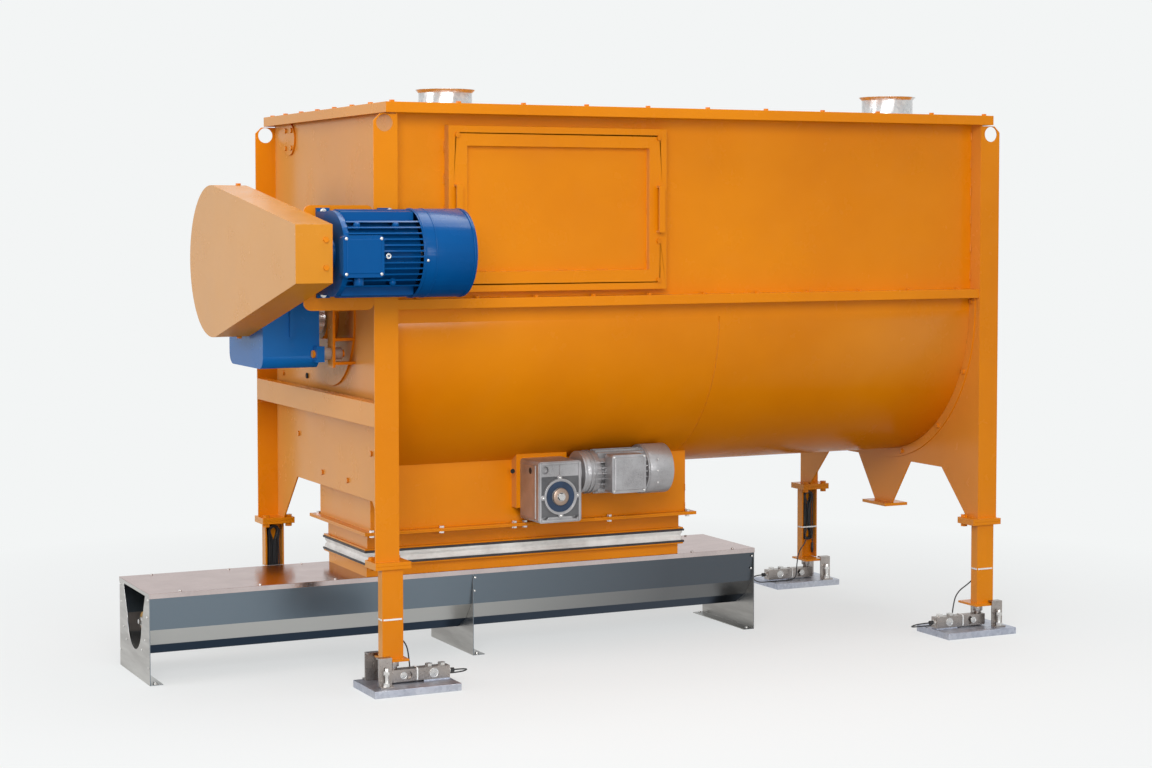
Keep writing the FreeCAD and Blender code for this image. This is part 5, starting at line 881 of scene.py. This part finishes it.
def conveyor_trim():
    """Screws of the lid, the end plate, the front side and the feet."""
    screws = Pile("conveyor_screws", BRIGHT)
    for x in (-590, -300, -20, 1440, 1620):
        for y in (478, 860):
            screws.pan(at(x, y, 321), UP, 0.0055)
    for y, z in ((478, 296), (859, 296), (490, 235), (847, 235), (520, 150), (817, 150), (560, 110), (777, 110),
                 (478, 60), (859, 60)):
        screws.pan(at(-703, y, z), LEFT, 0.0045)
    front_y, side_top, lean = 462.5, 290, 0.14
    for x in (519, 1700):
        for z in (side_top, 240):
            screws.pan(at(x, front_y + (side_top - z) * lean, z), FRONT, 0.0045)
    for x in (-680, 532, 1686):
        for y in (480, 857):
            screws.hexagon(at(x, y, 3), UP, 0.0065, 0.006)
    screws.done(slot="galvanised")


def auger_trim():
    """The stub, bronze bush and bolt on the auger's free end."""
    start = at(-640, AXIS_ACROSS, 190)
    stub = Pile("auger_stub", TURNED)
    stub.turned(start, LEFT, [(0, 0.0235), (0.004, 0.0225), (0.006, 0.0165), (0.038, 0.0165), (0.040, 0.015)], 32)
    stub.hexagon(start + Vector((-0.040, 0, 0)), LEFT, 0.010, 0.009)
    stub.done(body=AUGER, slot="machined_steel")
    bush = Pile("auger_bush", BRONZE)
    bush.ring(start + Vector((-0.008, 0, 0)), LEFT, 0.0168, 0.034, 0.026, 0.0015)
    bush.done(body=AUGER, slot="machined_steel")


motor_trim()
gear_motor_trim()
cell_trim()
welds()
trough_rims()
conveyor_trim()
auger_trim()


# ---------------------------------------------------------------- stage, light and camera

# The photograph's pale surround
PALE = (0.896, 0.913, 0.913, 1)


def seen_rays(tree):
    """One for rays from the camera and for those that metal and glass send on."""
    ways = tree.nodes.new("ShaderNodeLightPath")
    total = ways.outputs["Is Camera Ray"]
    for name in ("Is Glossy Ray", "Is Transmission Ray"):
        step = tree.nodes.new("ShaderNodeMath")
        step.operation = "MAXIMUM"
        tree.links.new(total, step.inputs[0])
        tree.links.new(ways.outputs[name], step.inputs[1])
        total = step.outputs[0]
    return total


def backdrop():
    """A wide floor that takes the part's shadow and fades into the pale surround."""
    bm = bmesh.new()
    bmesh.ops.create_grid(bm, x_segments=2, y_segments=2, size=60)
    mesh = bpy.data.meshes.new("studio_floor")
    bm.to_mesh(mesh)
    bm.free()
    floor = bpy.data.objects.new("studio_floor", mesh)
    bpy.context.scene.collection.objects.link(floor)
    p = Paint("studio_floor_paint")
    shown = seen_rays(p.tree)
    # What it sends on to the part is darker than what is seen
    p.colour(p.mix((0.36, 0.36, 0.36), (0.78, 0.79, 0.79), shown))
    p.set(Roughness=0.9)
    glow = p.add("ShaderNodeEmission")
    glow.inputs["Color"].default_value = PALE
    distance = p.add("ShaderNodeVectorMath", operation="LENGTH")
    p.link(p.coords, distance.inputs[0])
    fade = p.spread(distance.outputs["Value"], 0.62, 1.0, 1.6, 3.6)
    mix = p.add("ShaderNodeMixShader")
    p.link(p.maths("MULTIPLY", shown, fade), mix.inputs[0])
    p.link(p.surface.outputs[0], mix.inputs[1])
    p.link(glow.outputs[0], mix.inputs[2])
    p.link(mix.outputs[0], p.out.inputs["Surface"])
    mesh.materials.append(p.material)


def world():
    """Pale where it is seen, and a soft even light on the part."""
    sky = bpy.data.worlds.new("studio")
    bpy.context.scene.world = sky
    sky.use_nodes = True
    tree = sky.node_tree
    tree.nodes.clear()
    out = tree.nodes.new("ShaderNodeOutputWorld")
    shown = tree.nodes.new("ShaderNodeBackground")
    shown.inputs["Color"].default_value = PALE
    light = tree.nodes.new("ShaderNodeBackground")
    light.inputs["Color"].default_value = (0.97, 0.98, 1.0, 1)
    light.inputs["Strength"].default_value = 0.42
    mix = tree.nodes.new("ShaderNodeMixShader")
    tree.links.new(seen_rays(tree), mix.inputs[0])
    tree.links.new(light.outputs[0], mix.inputs[1])
    tree.links.new(shown.outputs[0], mix.inputs[2])
    tree.links.new(mix.outputs[0], out.inputs["Surface"])


def lamp(name, place, target, size, power):
    data = bpy.data.lights.new(name, "AREA")
    data.shape = "RECTANGLE"
    data.size, data.size_y = size
    data.energy = power
    item = bpy.data.objects.new(name, data)
    item.location = place
    item.rotation_mode = "QUATERNION"
    item.rotation_quaternion = (Vector(target) - Vector(place)).to_track_quat("-Z", "Y")
    bpy.context.scene.collection.objects.link(item)


def camera():
    """The photograph's camera, solved from the mixer's edges."""
    pitch, roll, turn = 90 - 2.84, 0.03, -25.84
    data = bpy.data.cameras.new("photo_camera")
    data.sensor_width = 36
    data.lens = 68.347
    data.shift_y = -0.0510
    data.clip_start, data.clip_end = 0.1, 200
    item = bpy.data.objects.new("photo_camera", data)
    item.location = at(-2640.4, -6917.1, 1619.9)
    item.rotation_euler = (math.radians(pitch), math.radians(roll), math.radians(turn))
    bpy.context.scene.collection.objects.link(item)
    bpy.context.scene.camera = item


backdrop()
world()
lamp("key", (-3.5, -6.5, 4.2), (0, 0, 1.1), (4.0, 3.0), 300)
lamp("front", (-1.2, -7.6, 1.5), (0.3, 0, 1.1), (1.6, 1.6), 120)
lamp("top", (0.5, -0.5, 6.5), (0.3, 0.1, 1.0), (6.0, 4.0), 210)
lamp("side", (-7.0, 0.5, 2.4), (-0.9, 0.1, 1.2), (3.0, 3.0), 130)
camera()
bpy.context.scene.view_settings.view_transform = "Standard"
